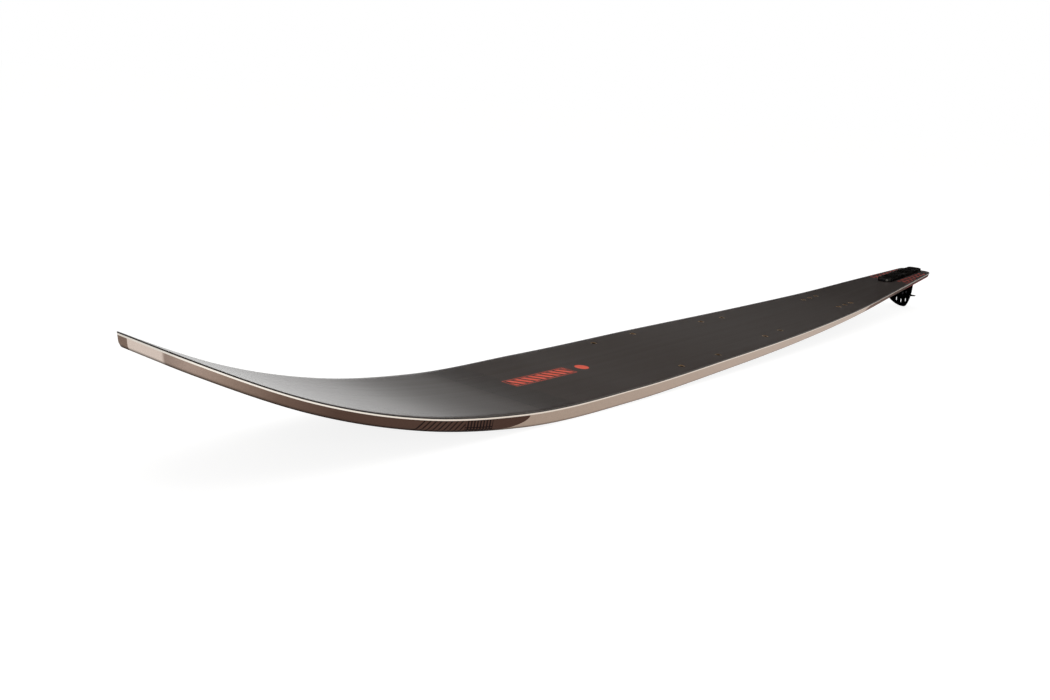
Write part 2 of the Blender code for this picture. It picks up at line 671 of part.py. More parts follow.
def fin_outline():
    """Blade and tab as (x, z): elliptic heel, superelliptic leading edge, shouldered tab."""
    base = -thickness(0.0)
    shoulder = base - FIN_DEPTH_TRAVEL - FIN_BASE_CLEAR
    deepest = base - FIN_DEPTH
    heel = base - FIN_HEEL
    points = [(FIN_TAB_REAR, FIN_TOP), (FIN_TAB_REAR, shoulder), (FIN_REAR, shoulder)]
    for k in range(9):
        turn = pi / 2 * k / 8
        points.append((FIN_DEEPEST + (FIN_REAR - FIN_DEEPEST) * cos(turn),
                       heel + (deepest - heel) * sin(turn)))
    power = 2 / FIN_SWEEP
    for k in range(1, 15):
        turn = pi / 2 * (1 - k / 14)
        points.append((FIN_DEEPEST + (FIN_FRONT - FIN_DEEPEST) * cos(turn) ** power,
                       shoulder + (deepest - shoulder) * sin(turn) ** power))
    return points + [(FIN_TAB_FRONT, shoulder), (FIN_TAB_FRONT, FIN_STEP_TOP), (FIN_STEP, FIN_STEP_TOP),
                     (FIN_STEP, FIN_TOP)]


def make_fin(slide, finish):
    """Flat blade with three windows, clamp slots in its tab and the wing's two screw holes."""
    half = FIN_THICKNESS / 2
    fin = slab("fin", [fin_outline()], -half, half, upright=True, finish=finish["fin"], parent=slide)
    windows = [obround(place_at, WINDOW_LENGTH, WINDOW_WIDTH, WINDOW_LEAN) for place_at in WINDOW_PLACES]
    reach = half + CUT
    combine(fin, as_cutter(slab("fin_windows", windows, -reach, reach, upright=True, parent=slide)))
    width = 2 * (CLAMP_SCREW + GAP)
    slots = [obround((x, -CLAMP_DROP), width + 2 * FIN_DEPTH_TRAVEL, width, pi / 2) for x in CLAMP_PLACES]
    combine(fin, as_cutter(slab("fin_clamp_slots", slots, -reach, reach, upright=True, parent=slide)))
    width = 2 * (WING_SCREW + GAP)
    swing = 2 * WING_ARM * sin(WING_SWING)
    lock = (WING_PIVOT[0] - WING_ARM * cos(WING_ANGLE), WING_PIVOT[1] + WING_ARM * sin(WING_ANGLE))
    wing_holes = [circle(WING_PIVOT, WING_SCREW + GAP),
                  obround(lock, width + swing + GAP, width + GAP, pi / 2 - WING_ANGLE)]
    combine(fin, as_cutter(slab("fin_wing_holes", wing_holes, -reach, reach, upright=True, parent=slide)))


def make_wing(pivot, finish):
    """Two angle-section halves clamped on the fin by a pivot screw and an angle screw."""
    inner = FIN_THICKNESS / 2 + GAP
    outer = inner + CHEEK_THICKNESS
    front = WING_ROOT / 2 - WING_ARM / 2
    rear = front - WING_ROOT
    tip_front = front - WING_SWEEP
    blade_low = -CHEEK_DROP - WING_THICKNESS / 2
    blade_high = -CHEEK_DROP + WING_THICKNESS / 2
    screws = (("pivot", 0.0), ("angle", -WING_ARM))
    for name, side in (("left", 1), ("right", -1)):
        blade_plan = rounded([(front, side * inner, 0), (tip_front, side * WING_SPAN, WING_CORNER),
                              (tip_front - WING_TIP, side * WING_SPAN, WING_CORNER), (rear, side * inner, 0)])
        half = slab(f"wing_{name}", [blade_plan], blade_low, blade_high, finish=finish["fin"], parent=pivot)
        soften = half.modifiers.new("soft_edges", "BEVEL")
        soften.width = WING_EDGE
        soften.segments = 1
        soften.limit_method = "ANGLE"
        cheek_rear = rear + CHEEK_SETBACK
        cheek_front = front - CHEEK_SETBACK
        cheek_top = CHEEK_HEIGHT - CHEEK_DROP
        cheek = slab(f"cheek_{name}", [rounded([(cheek_front, blade_low + GAP, 0),
                                                (cheek_front, cheek_top, CHEEK_CORNER),
                                                (cheek_rear, cheek_top, CHEEK_CORNER),
                                                (cheek_rear, blade_low + GAP, 0)])],
                     side * inner, side * outer, upright=True, parent=pivot)
        combine(half, as_cutter(cheek), "UNION")
        cutter = slab(f"wing_holes_{name}", [circle((x, 0.0), WING_SCREW + GAP) for _, x in screws],
                      side * (inner - GAP), side * (outer + CUT), upright=True, parent=pivot)
        combine(half, as_cutter(cutter))
    for name, x in screws:
        seat = outer + GAP
        end = -(seat + WING_NUT_HEIGHT + WING_SCREW_SPARE)
        turned(f"wing_{name}_screw",
               [(0, end), (WING_SCREW * 0.8, end), (WING_SCREW, end + WING_SCREW * 0.2), (WING_SCREW, seat),
                (WING_HEAD, seat), (WING_HEAD, seat + WING_HEAD_HEIGHT * 0.4),
                (WING_HEAD * 0.7, seat + WING_HEAD_HEIGHT * 0.9), (0, seat + WING_HEAD_HEIGHT)],
               (x, 0.0, 0.0), "Y", SMALL_SIDES, finish=finish["steel"], parent=pivot)
        turned(f"wing_{name}_nut",
               [(WING_SCREW + GAP, -seat - WING_NUT_HEIGHT), (WING_NUT, -seat - WING_NUT_HEIGHT),
                (WING_NUT, -seat), (WING_SCREW + GAP, -seat)],
               (x, 0.0, 0.0), "Y", 6, bored=True, finish=finish["steel"], parent=pivot)


def rest_tilt(seat_slope):
    """Angle that lays the line touching belly and fin on the floor."""
    belly = [(x, rocker(x)) for x in np.linspace(0.5, 1.5, 201)]
    blade = []
    for x, z in fin_outline():
        blade.append((BLOCK_CENTRE + x * cos(seat_slope) + z * sin(seat_slope),
                      deck(BLOCK_CENTRE) - x * sin(seat_slope) + z * cos(seat_slope)))
    return atan(max(min((bz - fz) / (bx - fx) for bx, bz in belly) for fx, fz in blade))


def stand_on_origin(frame):
    """Move the frame so that the pieces' common box stands centred on the origin."""
    bpy.context.view_layer.update()
    graph = bpy.context.evaluated_depsgraph_get()
    corners = []
    for item in bpy.data.objects:
        if item.type == "MESH" and not item.hide_render:
            shape = item.evaluated_get(graph)
            corners += [shape.matrix_world @ vertex.co for vertex in shape.data.vertices]
    points = np.array([tuple(corner) for corner in corners])
    low, high = points.min(axis=0), points.max(axis=0)
    frame.location = (-(low[0] + high[0]) / 2, -(low[1] + high[1]) / 2, -low[2])


clear_scene()
finishes = {
    "deck": material("satin_deck", (0.055, 0.045, 0.040), 0.42),
    "shell": material("rose_taupe_side", (0.45, 0.36, 0.31), 0.45),
    "foam": material("core_foam", (0.75, 0.66, 0.45), 0.9),
    "hard_foam": material("hard_tail_block", (0.40, 0.30, 0.20), 0.8),
    "pad": material("insert_pad", (0.30, 0.28, 0.16), 0.7),
    "insert": material("brass_insert", (0.62, 0.45, 0.20), 0.35, 1.0),
    "block": material("black_anodised_block", (0.025, 0.024, 0.024), 0.38, 0.6),
    "bar": material("grey_clamp_bar", (0.30, 0.30, 0.31), 0.4, 1.0),
    "steel": material("dark_steel_screw", (0.06, 0.06, 0.065), 0.35, 1.0),
    "bright": material("bright_steel_screw", (0.75, 0.73, 0.70), 0.2, 1.0),
    "fin": material("black_anodised_fin", (0.012, 0.012, 0.013), 0.35, 0.6),
}
seat_slope = atan2(deck(0.0) - deck(SEAT_LENGTH), SEAT_LENGTH)
ski = empty("ski_at_rest", (0.0, 0.0, 0.0), rest_tilt(seat_slope))
seat = empty("fin_block_seat", (BLOCK_CENTRE, 0.0, deck(BLOCK_CENTRE)), seat_slope, ski)
carriage = empty("fin_fore_aft_slide", (0.0, 0.0, 0.0), parent=seat)
fin_slide = empty("fin_depth_slide", (0.0, 0.0, 0.0), parent=carriage)
wing_pivot = empty("wing_pivot", (WING_PIVOT[0], 0.0, WING_PIVOT[1]), WING_ANGLE, fin_slide)

skin, shell, core, tail, pads = make_hull(ski, finishes)
make_inserts(ski, finishes, skin, core, pads)
screw_places = make_block(seat, finishes)
cut_tail(seat, skin, shell, tail, screw_places)
make_carriage(carriage, finishes)
make_length_screw(seat, finishes)
make_lock_screw(seat, finishes)
make_fin(fin_slide, finishes)
make_wing(wing_pivot, finishes)
stand_on_origin(ski)
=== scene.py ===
from functools import partial
import bmesh
import bpy
import numpy as np
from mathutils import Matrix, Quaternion, Vector


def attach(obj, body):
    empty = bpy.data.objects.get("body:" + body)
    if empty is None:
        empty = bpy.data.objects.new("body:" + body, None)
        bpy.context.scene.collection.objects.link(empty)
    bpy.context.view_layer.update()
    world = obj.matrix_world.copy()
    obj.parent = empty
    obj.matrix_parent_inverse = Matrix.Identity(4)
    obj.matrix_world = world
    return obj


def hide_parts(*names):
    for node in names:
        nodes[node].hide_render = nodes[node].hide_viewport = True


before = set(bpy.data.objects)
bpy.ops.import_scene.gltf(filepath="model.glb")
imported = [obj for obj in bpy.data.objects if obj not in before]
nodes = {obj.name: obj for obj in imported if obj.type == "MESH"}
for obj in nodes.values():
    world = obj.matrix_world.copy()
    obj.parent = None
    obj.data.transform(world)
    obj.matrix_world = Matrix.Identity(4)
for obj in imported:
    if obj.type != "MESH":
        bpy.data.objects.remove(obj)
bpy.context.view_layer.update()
print("frame loaded:", len(nodes), "nodes")

# Lengths are metres. In the ski frame X runs from the tail (0) to the nose, and Z is 0 at the lowest base line.
hull = {
    "length": 1.728,
    "plan": [(0, .027), (.188, .0425), (.535, .068), (.930, .0843), (1.230, .0875), (1.420, .0803),
             (1.545, .0722), (1.650, .0612), (1.728, .0512)],
    "rocker": [(0, .0258), (.200, .0176), (.387, .0087), (.634, .0023), (.900, 0), (1.130, .0003),
               (1.328, .0087), (1.477, .0337), (1.605, .0727), (1.728, .1282)],
    "thickness": [(0, .0110), (.200, .0110), (.535, .0138), (.930, .0178), (1.328, .0177), (1.526, .0142),
                  (1.728, .0122)],
    "tunnel": [(0, .0008), (.220, .0008), (.450, .0038), (1.250, .0042), (1.480, .0006), (1.728, 0)],
    "tailCorner": .014, "noseCorner": .021,
    "skin": .0012, "seam": .0003, "wallLean": .0015, "bevelRise": .0032, "bevelWidth": .0034, "railWidth": .009,
    "endShare": .55,  # at its two ends the wall draws in this much of what it does along the sides
    "columns": 28, "steps": (13, 232, 15), "probe": .001,  # the mesh across, then round tail, side and nose
}
restTilt = .028745163
restPlace = np.array([-.866031468, 0, .033064328])
blockCentre = .088
seatSlope = .040977049
baseShare = 1.15  # what the skiMap holds as the wall's share all over the base


# Cubic spans through the points; each inner slope is the blend of its two neighbouring chords.
def curveThrough(points, straightStart=False):
    x, y = np.array(points, float).T
    step = np.diff(x)
    chord = np.diff(y) / step
    slope = np.empty(len(x))
    slope[1:-1] = (chord[:-1] * step[1:] + chord[1:] * step[:-1]) / (step[:-1] + step[1:])
    slope[0] = 1.5 * chord[0] - .5 * slope[1]
    slope[-1] = 1.5 * chord[-1] - .5 * slope[-2]
    if straightStart:
        slope[:2] = chord[0]

    def value(at):
        at = np.asarray(at, float)
        span = np.clip(np.searchsorted(x, at) - 1, 0, len(step) - 1)
        width = step[span]
        t = (at - x[span]) / width
        return ((2 * t**3 - 3 * t**2 + 1) * y[span] + (t**3 - 2 * t**2 + t) * width * slope[span]
                + (3 * t**2 - 2 * t**3) * y[span + 1] + (t**3 - t**2) * width * slope[span + 1])
    return value


plan = curveThrough(hull["plan"])
rocker = curveThrough(hull["rocker"], True)
thickness = curveThrough(hull["thickness"], True)
tunnel = curveThrough(hull["tunnel"], True)


def deckHeight(s):
    return rocker(s) + thickness(s)


# Turning about Y: x and z mix by the cosine and sine of the tilt, then the whole moves to its place.
def turnedAbout(points, tilt, place):
    p = np.asarray(points, float)
    c, n = np.cos(tilt), np.sin(tilt)
    return np.stack([p[..., 0] * c + p[..., 2] * n, p[..., 1], p[..., 2] * c - p[..., 0] * n], -1) + place


def fromSki(points):
    return turnedAbout(points, restTilt, restPlace)


seatPlace = fromSki([blockCentre, 0, float(deckHeight(blockCentre))])
seatTilt = restTilt + seatSlope


def fromSeat(points):
    return turnedAbout(points, seatTilt, seatPlace)


# A mesh object from vertex rows and face rows; uv, when given, is one (u, v) per vertex, kept under mapName.
def makePiece(name, vertices, faces, uv=None, smoothAngle=40, mapName="skiMap"):
    mesh = bpy.data.meshes.new(name)
    mesh.from_pydata(np.asarray(vertices, float).reshape(-1, 3).tolist(), [], [list(f) for f in faces])
    if uv is not None:
        loops = np.empty(len(mesh.loops), int)
        mesh.loops.foreach_get("vertex_index", loops)
        corners = np.asarray(uv, float).reshape(-1, 2)[loops]
        mesh.uv_layers.new(name=mapName).data.foreach_set("uv", corners.ravel())
    clean = bmesh.new()
    clean.from_mesh(mesh)
    bmesh.ops.remove_doubles(clean, verts=clean.verts, dist=1e-7)
    bmesh.ops.recalc_face_normals(clean, faces=clean.faces)
    clean.to_mesh(mesh)
    clean.free()
    mesh.shade_smooth()
    mesh.set_sharp_from_angle(angle=np.radians(smoothAngle))
    piece = bpy.data.objects.new(name, mesh)
    bpy.context.scene.collection.objects.link(piece)
    return piece


# Quads between neighbouring rows and columns of an index grid, wrapped round where asked.
def gridFaces(index, wrap=False):
    a = index if wrap else index[:, :-1]
    b = np.roll(index, -1, 1) if wrap else index[:, 1:]
    return np.stack([a[:-1], b[:-1], b[1:], a[1:]], -1).reshape(-1, 4).tolist()


# The faces of a tube of rings, both ends closed
def tubeFaces(index):
    return gridFaces(index, True) + [index[0].tolist(), index[-1].tolist()]


# Cuts or joins a piece with throwaway tools, then keeps the result as its plain mesh.
def carve(piece, tools, operation="DIFFERENCE", smoothAngle=40):
    for tool in tools:
        step = piece.modifiers.new(tool.name, "BOOLEAN")
        step.operation = operation
        step.solver = "EXACT"
        step.object = tool
    settle(piece, smoothAngle)
    for tool in tools:
        bpy.data.objects.remove(tool)
    return piece


def settle(piece, smoothAngle=40):
    result = bpy.data.meshes.new_from_object(piece.evaluated_get(bpy.context.evaluated_depsgraph_get()))
    piece.modifiers.clear()
    result.name = piece.name
    piece.data = result
    result.shade_smooth()
    result.set_sharp_from_angle(angle=np.radians(smoothAngle))
    return piece


def soften(piece, width, segments=2, angle=40):
    step = piece.modifiers.new("soften", "BEVEL")
    step.width = width
    step.segments = segments
    step.limit_method = "ANGLE"
    step.angle_limit = np.radians(angle)
    step.harden_normals = False
    return piece


# A turned piece: radius and height along the profile, carried round the axis. A row marked hex has its radius
# divided by the cosine of the angle to the nearest flat, which makes it a hexagon of that half width. The
# turnMap holds the share of a turn and the radius.
def turnedPiece(name, profile, centre, along, place, sides=48, hexRows=()):
    radius, height = np.array(profile, float).T
    angle = np.arange(sides) * 2 * np.pi / sides
    flat = (angle % (np.pi / 3)) - np.pi / 6
    share = np.ones((len(radius), sides))
    share[list(hexRows)] = 1 / np.cos(flat)
    across = radius[:, None] * share * np.cos(angle)
    side = radius[:, None] * share * np.sin(angle)
    level = np.repeat(height[:, None], sides, 1)
    order = {"X": (level, across, side), "Y": (side, level, across), "Z": (across, side, level)}[along]
    points = place(np.stack(order, -1) + np.array(centre))
    index = np.arange(points.size // 3).reshape(len(radius), sides)
    openEnds = radius[0] > 0 and radius[-1] > 0 and tuple(profile[0]) != tuple(profile[-1])
    faces = tubeFaces(index) if openEnds else gridFaces(index, True)
    turns = np.repeat((angle / 2 / np.pi)[None], len(radius), 0)
    uv = np.stack([turns, np.repeat(radius[:, None], sides, 1)], -1)
    return makePiece(name, points, faces, uv, 35, "turnMap")


# A plate: a closed outline of (x, y) carried from low to high along Z, or along Y when it stands upright.
def plate(name, outline, low, high, place, upright=False):
    x, y = np.array(outline, float).T
    levels = [np.full_like(x, v) for v in (low, high)]
    rings = np.array([np.stack([x, v, y] if upright else [x, y, v], -1) for v in levels])
    index = np.arange(2 * len(x)).reshape(2, -1)
    return makePiece(name, place(rings), tubeFaces(index), smoothAngle=30)


def circleOutline(centre, radius, sides=40):
    turn = np.arange(sides) * 2 * np.pi / sides
    return np.stack([centre[0] + radius * np.cos(turn), centre[1] + radius * np.sin(turn)], -1)


# Two half rounds a straight apart, the long way leaning from X by lean.
def slotOutline(centre, length, width, lean, steps=14):
    turn = np.linspace(-np.pi / 2, np.pi / 2, steps)
    half = np.stack([(length - width) / 2 + width / 2 * np.cos(turn), width / 2 * np.sin(turn)], -1)
    whole = np.concatenate([half, -half])
    c, n = np.cos(lean), np.sin(lean)
    return whole @ np.array([[c, n], [-n, c]]) + np.array(centre)


# A polygon whose corners (x, y, radius) are rounded by arcs: each arc's centre lies on the corner's bisector.
def roundedOutline(corners, steps=8):
    parts = []
    for i, (x, y, radius) in enumerate(corners):
        here = Vector((x, y))
        if radius <= 0:
            parts.append([(x, y)])
            continue
        before = (Vector(corners[i - 1][:2]) - here).normalized()
        after = (Vector(corners[(i + 1) % len(corners)][:2]) - here).normalized()
        half = before.angle(after) / 2
        centre = here + (before + after).normalized() * (radius / np.sin(half))
        first = here + before * (radius / np.tan(half)) - centre
        turn = (np.pi - 2 * half) * (1 if before.cross(after) < 0 else -1) * np.linspace(0, 1, steps + 1)
        parts.append(np.stack([centre.x + first.x * np.cos(turn) - first.y * np.sin(turn),
                               centre.y + first.x * np.sin(turn) + first.y * np.cos(turn)], -1))
    return np.concatenate([np.array(p, float) for p in parts])


# A box from rear to front and side to side with rounded corners
def roundedBox(front, rear, side, frontCorner, rearCorner, steps=8):
    return roundedOutline([(front, -side, frontCorner), (front, side, frontCorner), (rear, side, rearCorner),
                           (rear, -side, rearCorner)], steps)


# The plan's rounded ends: an arc tangent to the end line and to the leaning side.
def endArc(end, radius):
    inward = 1 if end == 0 else -1
    lean = float(np.arctan((plan(end + inward * 2 * hull["probe"]) - plan(end)) / (2 * hull["probe"])))
    side = float(plan(end) - radius * (1 - np.sin(lean)) / np.cos(lean))
    return end + inward * radius, side, radius, lean


tailArc = endArc(0, hull["tailCorner"])
noseArc = endArc(hull["length"], hull["noseCorner"])


# Stations along the half outline drawn in by inset: the tail arc, the side, the nose arc. Returns s and half
# width. Round an arc the inset falls, by the square of the sine, to its end share at the tip.
def outlineRow(inset):
    tailX, tailY, tailR, tailLean = tailArc
    noseX, noseY, noseR, noseLean = noseArc
    tailSteps, sideSteps, noseSteps = hull["steps"]
    turn = np.linspace(np.pi / 2, tailLean, tailSteps)
    reach = tailR - inset * (1 - (1 - hull["endShare"]) * np.sin(turn) ** 2)
    tail = np.stack([tailX - reach * np.sin(turn), tailY + reach * np.cos(turn)], -1)
    s = np.linspace(tailX, noseX, sideSteps)[1:-1]
    slope = (plan(s + hull["probe"]) - plan(s - hull["probe"])) / (2 * hull["probe"])
    side = np.stack([s, plan(s) - inset * np.sqrt(1 + slope**2)], -1)
    turn = np.linspace(noseLean, np.pi / 2, noseSteps)
    reach = noseR - inset * (1 - (1 - hull["endShare"]) * np.sin(turn) ** 2)
    nose = np.stack([noseX + reach * np.sin(turn), noseY + reach * np.cos(turn)], -1)
    return np.concatenate([tail, side, nose])


# Loops of the whole outline, each with its inset and height, skinned one after another between a first and a
# last face that spans the ski in columns. height(s) gives each loop's Z; hollow(s, y, half width) lifts the
# last face. The skiMap holds the distance from the tail and the depth below the deck line.
def hullPiece(name, loops, openTop=False, hollow=None):
    columns = hull["columns"]
    across = np.linspace(-1, 1, columns + 1)
    rows = [outlineRow(inset) for inset, _ in loops]
    count = len(rows[0])
    grid = np.arange(count * (columns + 1)).reshape(count, columns + 1)
    rim = np.concatenate([grid[:, 0], grid[-1, 1:], grid[-2::-1, -1], grid[0, -2:0:-1]])
    points, uv, faces, rings = [], [], [], []
    start = 0
    for k, ((inset, height), row) in enumerate(zip(loops, rows)):
        s = np.repeat(row[:, :1], columns + 1, 1)
        y = row[:, 1:] * across
        z = height(s)
        if k == len(loops) - 1 and hollow:
            z = z + hollow(s, y, row[:, 1:])
        sheet = np.stack([s, y, z], -1).reshape(-1, 3)
        depth = deckHeight(sheet[:, 0]) - sheet[:, 2]
        if openTop:  # the wall keeps its depth as a share of the thickness
            depth = depth / thickness(sheet[:, 0]) if k < len(loops) - 1 else np.full(len(sheet), baseShare)
        if k in (0, len(loops) - 1) and not (k == 0 and openTop):
            faces += gridFaces(grid + start)
            rings.append(rim + start)
            kept = np.arange(len(sheet))
        else:
            rings.append(np.arange(len(rim)) + start)
            kept = rim
        points.append(sheet[kept])
        uv.append(np.stack([sheet[kept, 0], depth[kept]], -1))
        start += len(kept)
    for a, b in zip(rings, rings[1:]):
        faces += gridFaces(np.array([a, b]), True)
    return makePiece(name, fromSki(np.concatenate(points)), faces, np.concatenate(uv), 50)


def belowDeck(depth):
    return lambda s: deckHeight(s) - depth


def aboveBase(rise):
    return lambda s: rocker(s) + rise


# The skiMap at every face corner of a piece
def mapCorners(piece):
    corners = np.empty(len(piece.data.loops) * 2)
    piece.data.uv_layers["skiMap"].data.foreach_get("uv", corners)
    return corners.reshape(-1, 2)


# Deck laminate: its upper edge is a quarter round of the edge radius.
deck = {"edge": .0008, "foot": .00142, "insertHole": .0047, "cutReach": .004, "well": (-.005, .004)}
turn = np.radians([90, 67, 45, 22, 0])
deckLoops = [(deck["edge"] * (1 - np.cos(t)), belowDeck(deck["edge"] * (1 - np.sin(t)))) for t in turn]
deckLoops.append((0, belowDeck(deck["foot"])))
deckPiece = hullPiece("deck_laminate", deckLoops)
print("deck made")

# Binding inserts: (distance from the tail, half spacing)
insert = {
    "rows": [(.3816, .0301), (.4056, .0301), (.4296, .0301), (.6771, .0471), (.7333, .0510), (.8970, .0658),
             (.9914, .0664)],
    "flange": .0046, "flangeDepth": .0012, "body": .004, "depth": .0065, "floor": .001, "sunk": .00015,
    "bore": .0025, "chamfer": .0002, "countersink": .0006, "threadDepth": .00018, "threadPitch": .0008,
}
insertPlaces = [(s, y * side) for s, y in insert["rows"] for side in (1, -1)]

# Fin block, its screws and the channel under it, all in the seat frame. Bores: bottom, narrow and wide radius.
block = {
    "length": .160, "width": .0245, "height": .0058, "frontCorner": .010, "rearCorner": .008, "edge": .0012,
    "edgeBreak": .00018,
    "channelLength": .140, "channelTop": .0048, "channelSide": .0038, "channelCorner": .0015,
    "pocket": .0042, "pocketFloor": .0018, "cutFoot": -.002, "cutTop": .009, "cutPast": .002,
    "screwPitch": .066, "screwSide": .0087, "screw": .0019, "screwFoot": -.0066, "head": .0032,
    "headHeight": .0022, "socket": .0016,
    "lengthRise": .0028, "lengthHead": .00195, "lengthHeadDepth": .0025, "lengthSunk": .0008,
    "lengthShank": .0010, "lengthTip": .054, "lengthBore": (.068, .0013, .00225),
    "lengthThread": (.00008, .0004), "driver": (.001, .0005),
    "lockSide": .0064, "lockRise": .0030, "lockHead": .0021, "lockSunk": .0016, "lockReach": .0070,
    "lockShank": .0015, "lockRim": .0004, "lockDome": .0011, "lockBore": (.0082, .0018, .0024),
}
blockScrewPlaces = [(k * block["screwPitch"], side * block["screwSide"]) for k in (-1, 0, 1)
                    for side in (-1, 1)]
channelOutline = roundedBox(block["channelLength"] / 2, -block["channelLength"] / 2, block["channelSide"],
                            block["channelCorner"], block["channelCorner"])

deckTools = []
for i, (s, y) in enumerate(insertPlaces):
    low, high = (float(deckHeight(s)) + reach for reach in (-deck["cutReach"], deck["cutReach"]))
    deckTools.append(plate(f"hole{i}", circleOutline((s, y), deck["insertHole"]), low, high, fromSki))
deckTools.append(plate("well", channelOutline, *deck["well"], fromSeat))
carve(deckPiece, deckTools)

# Side wall and base: wall, rounded bevel, rail, then the tunnel, which rises as the square of the cosine.
shell = {"wall": .0014, "soft": .0009, "leastTunnel": .3}


def tunnelLift(s, y, width):
    flat = np.maximum(width - hull["railWidth"], width * shell["leastTunnel"])
    share = np.clip(np.abs(y) / flat, 0, 1)
    return tunnel(s) * np.cos(np.pi / 2 * share) ** 2


def wallAt(share):
    return lambda s: rocker(s) + rise + (thickness(s) - rise) * share


lean, rise, wide, soft = hull["wallLean"], hull["bevelRise"], hull["bevelWidth"], shell["soft"]
shellLoops = [(0, belowDeck(hull["skin"] + hull["seam"])), (lean * .25, wallAt(.7)), (lean * .75, wallAt(.25)),
              (lean, aboveBase(rise + soft)), (lean + .10 * soft, aboveBase(rise + .35 * soft)),
              (lean + .35 * soft, aboveBase(rise - .25 * soft)),
              (lean + wide - .6 * soft, aboveBase(.55 * soft)),
              (lean + wide - .05 * soft, aboveBase(.12 * soft)), (lean + wide + soft, aboveBase(0))]
shellPiece = hullPiece("side_wall_and_base", shellLoops, openTop=True, hollow=tunnelLift)
wallStep = shellPiece.modifiers.new("wall", "SOLIDIFY")
wallStep.thickness = shell["wall"]
wallStep.offset = -1
settle(shellPiece, 50)
finSlot = {"rear": -.0693, "front": .0623, "half": .002, "corner": .0018, "low": -.020, "high": -.007}
slotOutside = roundedBox(finSlot["front"], finSlot["rear"], finSlot["half"], finSlot["corner"],
                         finSlot["corner"])
carve(shellPiece, [plate("slot", slotOutside, finSlot["low"], finSlot["high"], fromSeat)], smoothAngle=50)
# The slot's cut walls come without a place in the map, so they take the base's
corners = mapCorners(shellPiece)
corners[np.abs(corners).sum(1) < 1e-6] = (blockCentre, baseShare)
shellPiece.data.uv_layers["skiMap"].data.foreach_set("uv", corners.ravel())
print("side wall and base made")

# Threaded inserts: flange, then a bore with a wave of 0.8 mm pitch for its thread
insertPieces = []
thread = np.linspace(0, 1, 33)
for number, (s, y) in enumerate(insertPlaces, 1):
    top = float(deckHeight(s)) - insert["sunk"]
    bottom = top - insert["depth"]
    chamfer, sink = insert["chamfer"], insert["countersink"]
    boreHeight = top - sink - thread * (insert["depth"] - insert["floor"] - sink)
    wave = 1 - np.cos((top - boreHeight) / insert["threadPitch"] * 2 * np.pi)
    boreRadius = insert["bore"] - insert["threadDepth"] * wave / 2
    profile = [(0, bottom), (insert["body"], bottom), (insert["body"], top - insert["flangeDepth"]),
               (insert["flange"], top - insert["flangeDepth"]), (insert["flange"], top - chamfer),
               (insert["flange"] - chamfer, top), (insert["bore"] + sink, top), (insert["bore"], top - sink)]
    profile += list(zip(boreRadius[1:], boreHeight[1:])) + [(0, bottom + insert["floor"])]
    insertPieces.append(turnedPiece(f"threaded_insert_{number:02d}", profile, (s, y, 0), "Z", fromSki, 40))


# Fin block: layers of its rounded outline, drawn in along a quarter round at the upper edge
def blockRing(inset, level):
    end, side = block["length"] / 2 - inset, block["width"] / 2 - inset
    ring = roundedBox(end, -end, side, block["frontCorner"] - inset, block["rearCorner"] - inset, 16)
    return np.c_[ring, np.full(len(ring), level)]


edge, turn = block["edge"], np.radians(np.linspace(0, 90, 7))
rings = [blockRing(edge * (1 - np.cos(t)), block["height"] - edge * (1 - np.sin(t))) for t in turn]
rings = np.array([blockRing(0.0, hull["seam"]), *rings])
index = np.arange(rings.shape[0] * rings.shape[1]).reshape(rings.shape[:2])
blockPiece = makePiece("fin_block_cap", fromSeat(rings), tubeFaces(index))
front = block["length"] / 2
blockTools = []
for name, radius, sides, low in (("pocket", block["pocket"], 40, block["pocketFloor"]),
                                 ("shank", block["screw"] + hull["seam"], 32, block["cutFoot"])):
    blockTools += [plate(f"{name}{i}", circleOutline(p, radius, sides), low, block["cutTop"], fromSeat)
                   for i, p in enumerate(blockScrewPlaces)]
blockTools.append(plate("channel", channelOutline, block["cutFoot"], block["channelTop"], fromSeat))


# A stepped bore: narrow from its bottom to the shoulder, then wide and out past the block's front end
def steppedBore(name, bottom, narrow, shoulder, wide, side, rise):
    out = front + block["cutPast"]
    profile = [(0, bottom), (narrow, bottom), (narrow, shoulder), (wide, shoulder), (wide, out), (0, out)]
    return turnedPiece(name, profile, (0, side, rise), "X", fromSeat, 32)


bottom, narrow, wide = block["lengthBore"]
lengthShoulder = front - block["lengthSunk"] - block["lengthHeadDepth"] - hull["seam"]
blockTools.append(steppedBore("lengthBore", bottom, narrow, lengthShoulder, wide, 0, block["lengthRise"]))
bottom, narrow, wide = block["lockBore"]
blockTools.append(steppedBore("lockBore", front - bottom, narrow, front - block["lockSunk"], wide,
                              block["lockSide"], block["lockRise"]))
carve(blockPiece, blockTools, smoothAngle=35)
soften(blockPiece, block["edgeBreak"], 2, 50)
settle(blockPiece, 35)
blockPiece.data.uv_layers.remove(blockPiece.data.uv_layers["turnMap"])  # it came with the bores, half empty
print("fin block made")

# Socket-head block screws: dished head with a hexagon socket. In all the screws, the steps of a fraction of a
# millimetre are broken edges.
screwPieces = []
low, foot = block["pocketFloor"] + hull["seam"], block["screwFoot"]
crown = low + block["headHeight"]
screw, head, socket = block["screw"], block["head"], block["socket"]
for number, p in enumerate(blockScrewPlaces, 1):
    profile = [(0, foot), (screw - .0005, foot), (screw, foot + .0006), (screw, low), (head - .0002, low),
               (head, low + .0002), (head, crown - .0009), (head - .0004, crown - .0003), (head - .0010, crown),
               (socket + .00025, crown), (socket, crown - .0002), (socket, crown - .0014), (0, crown - .0016)]
    screwPieces.append(turnedPiece(f"socket_screw_{number}", profile, (*p, 0), "Z", fromSeat, 48, (10, 11)))
tip, headFront, head = block["lengthTip"], front - block["lengthSunk"], block["lengthHead"]
headBack = headFront - block["lengthHeadDepth"]
depth, pitch = block["lengthThread"]
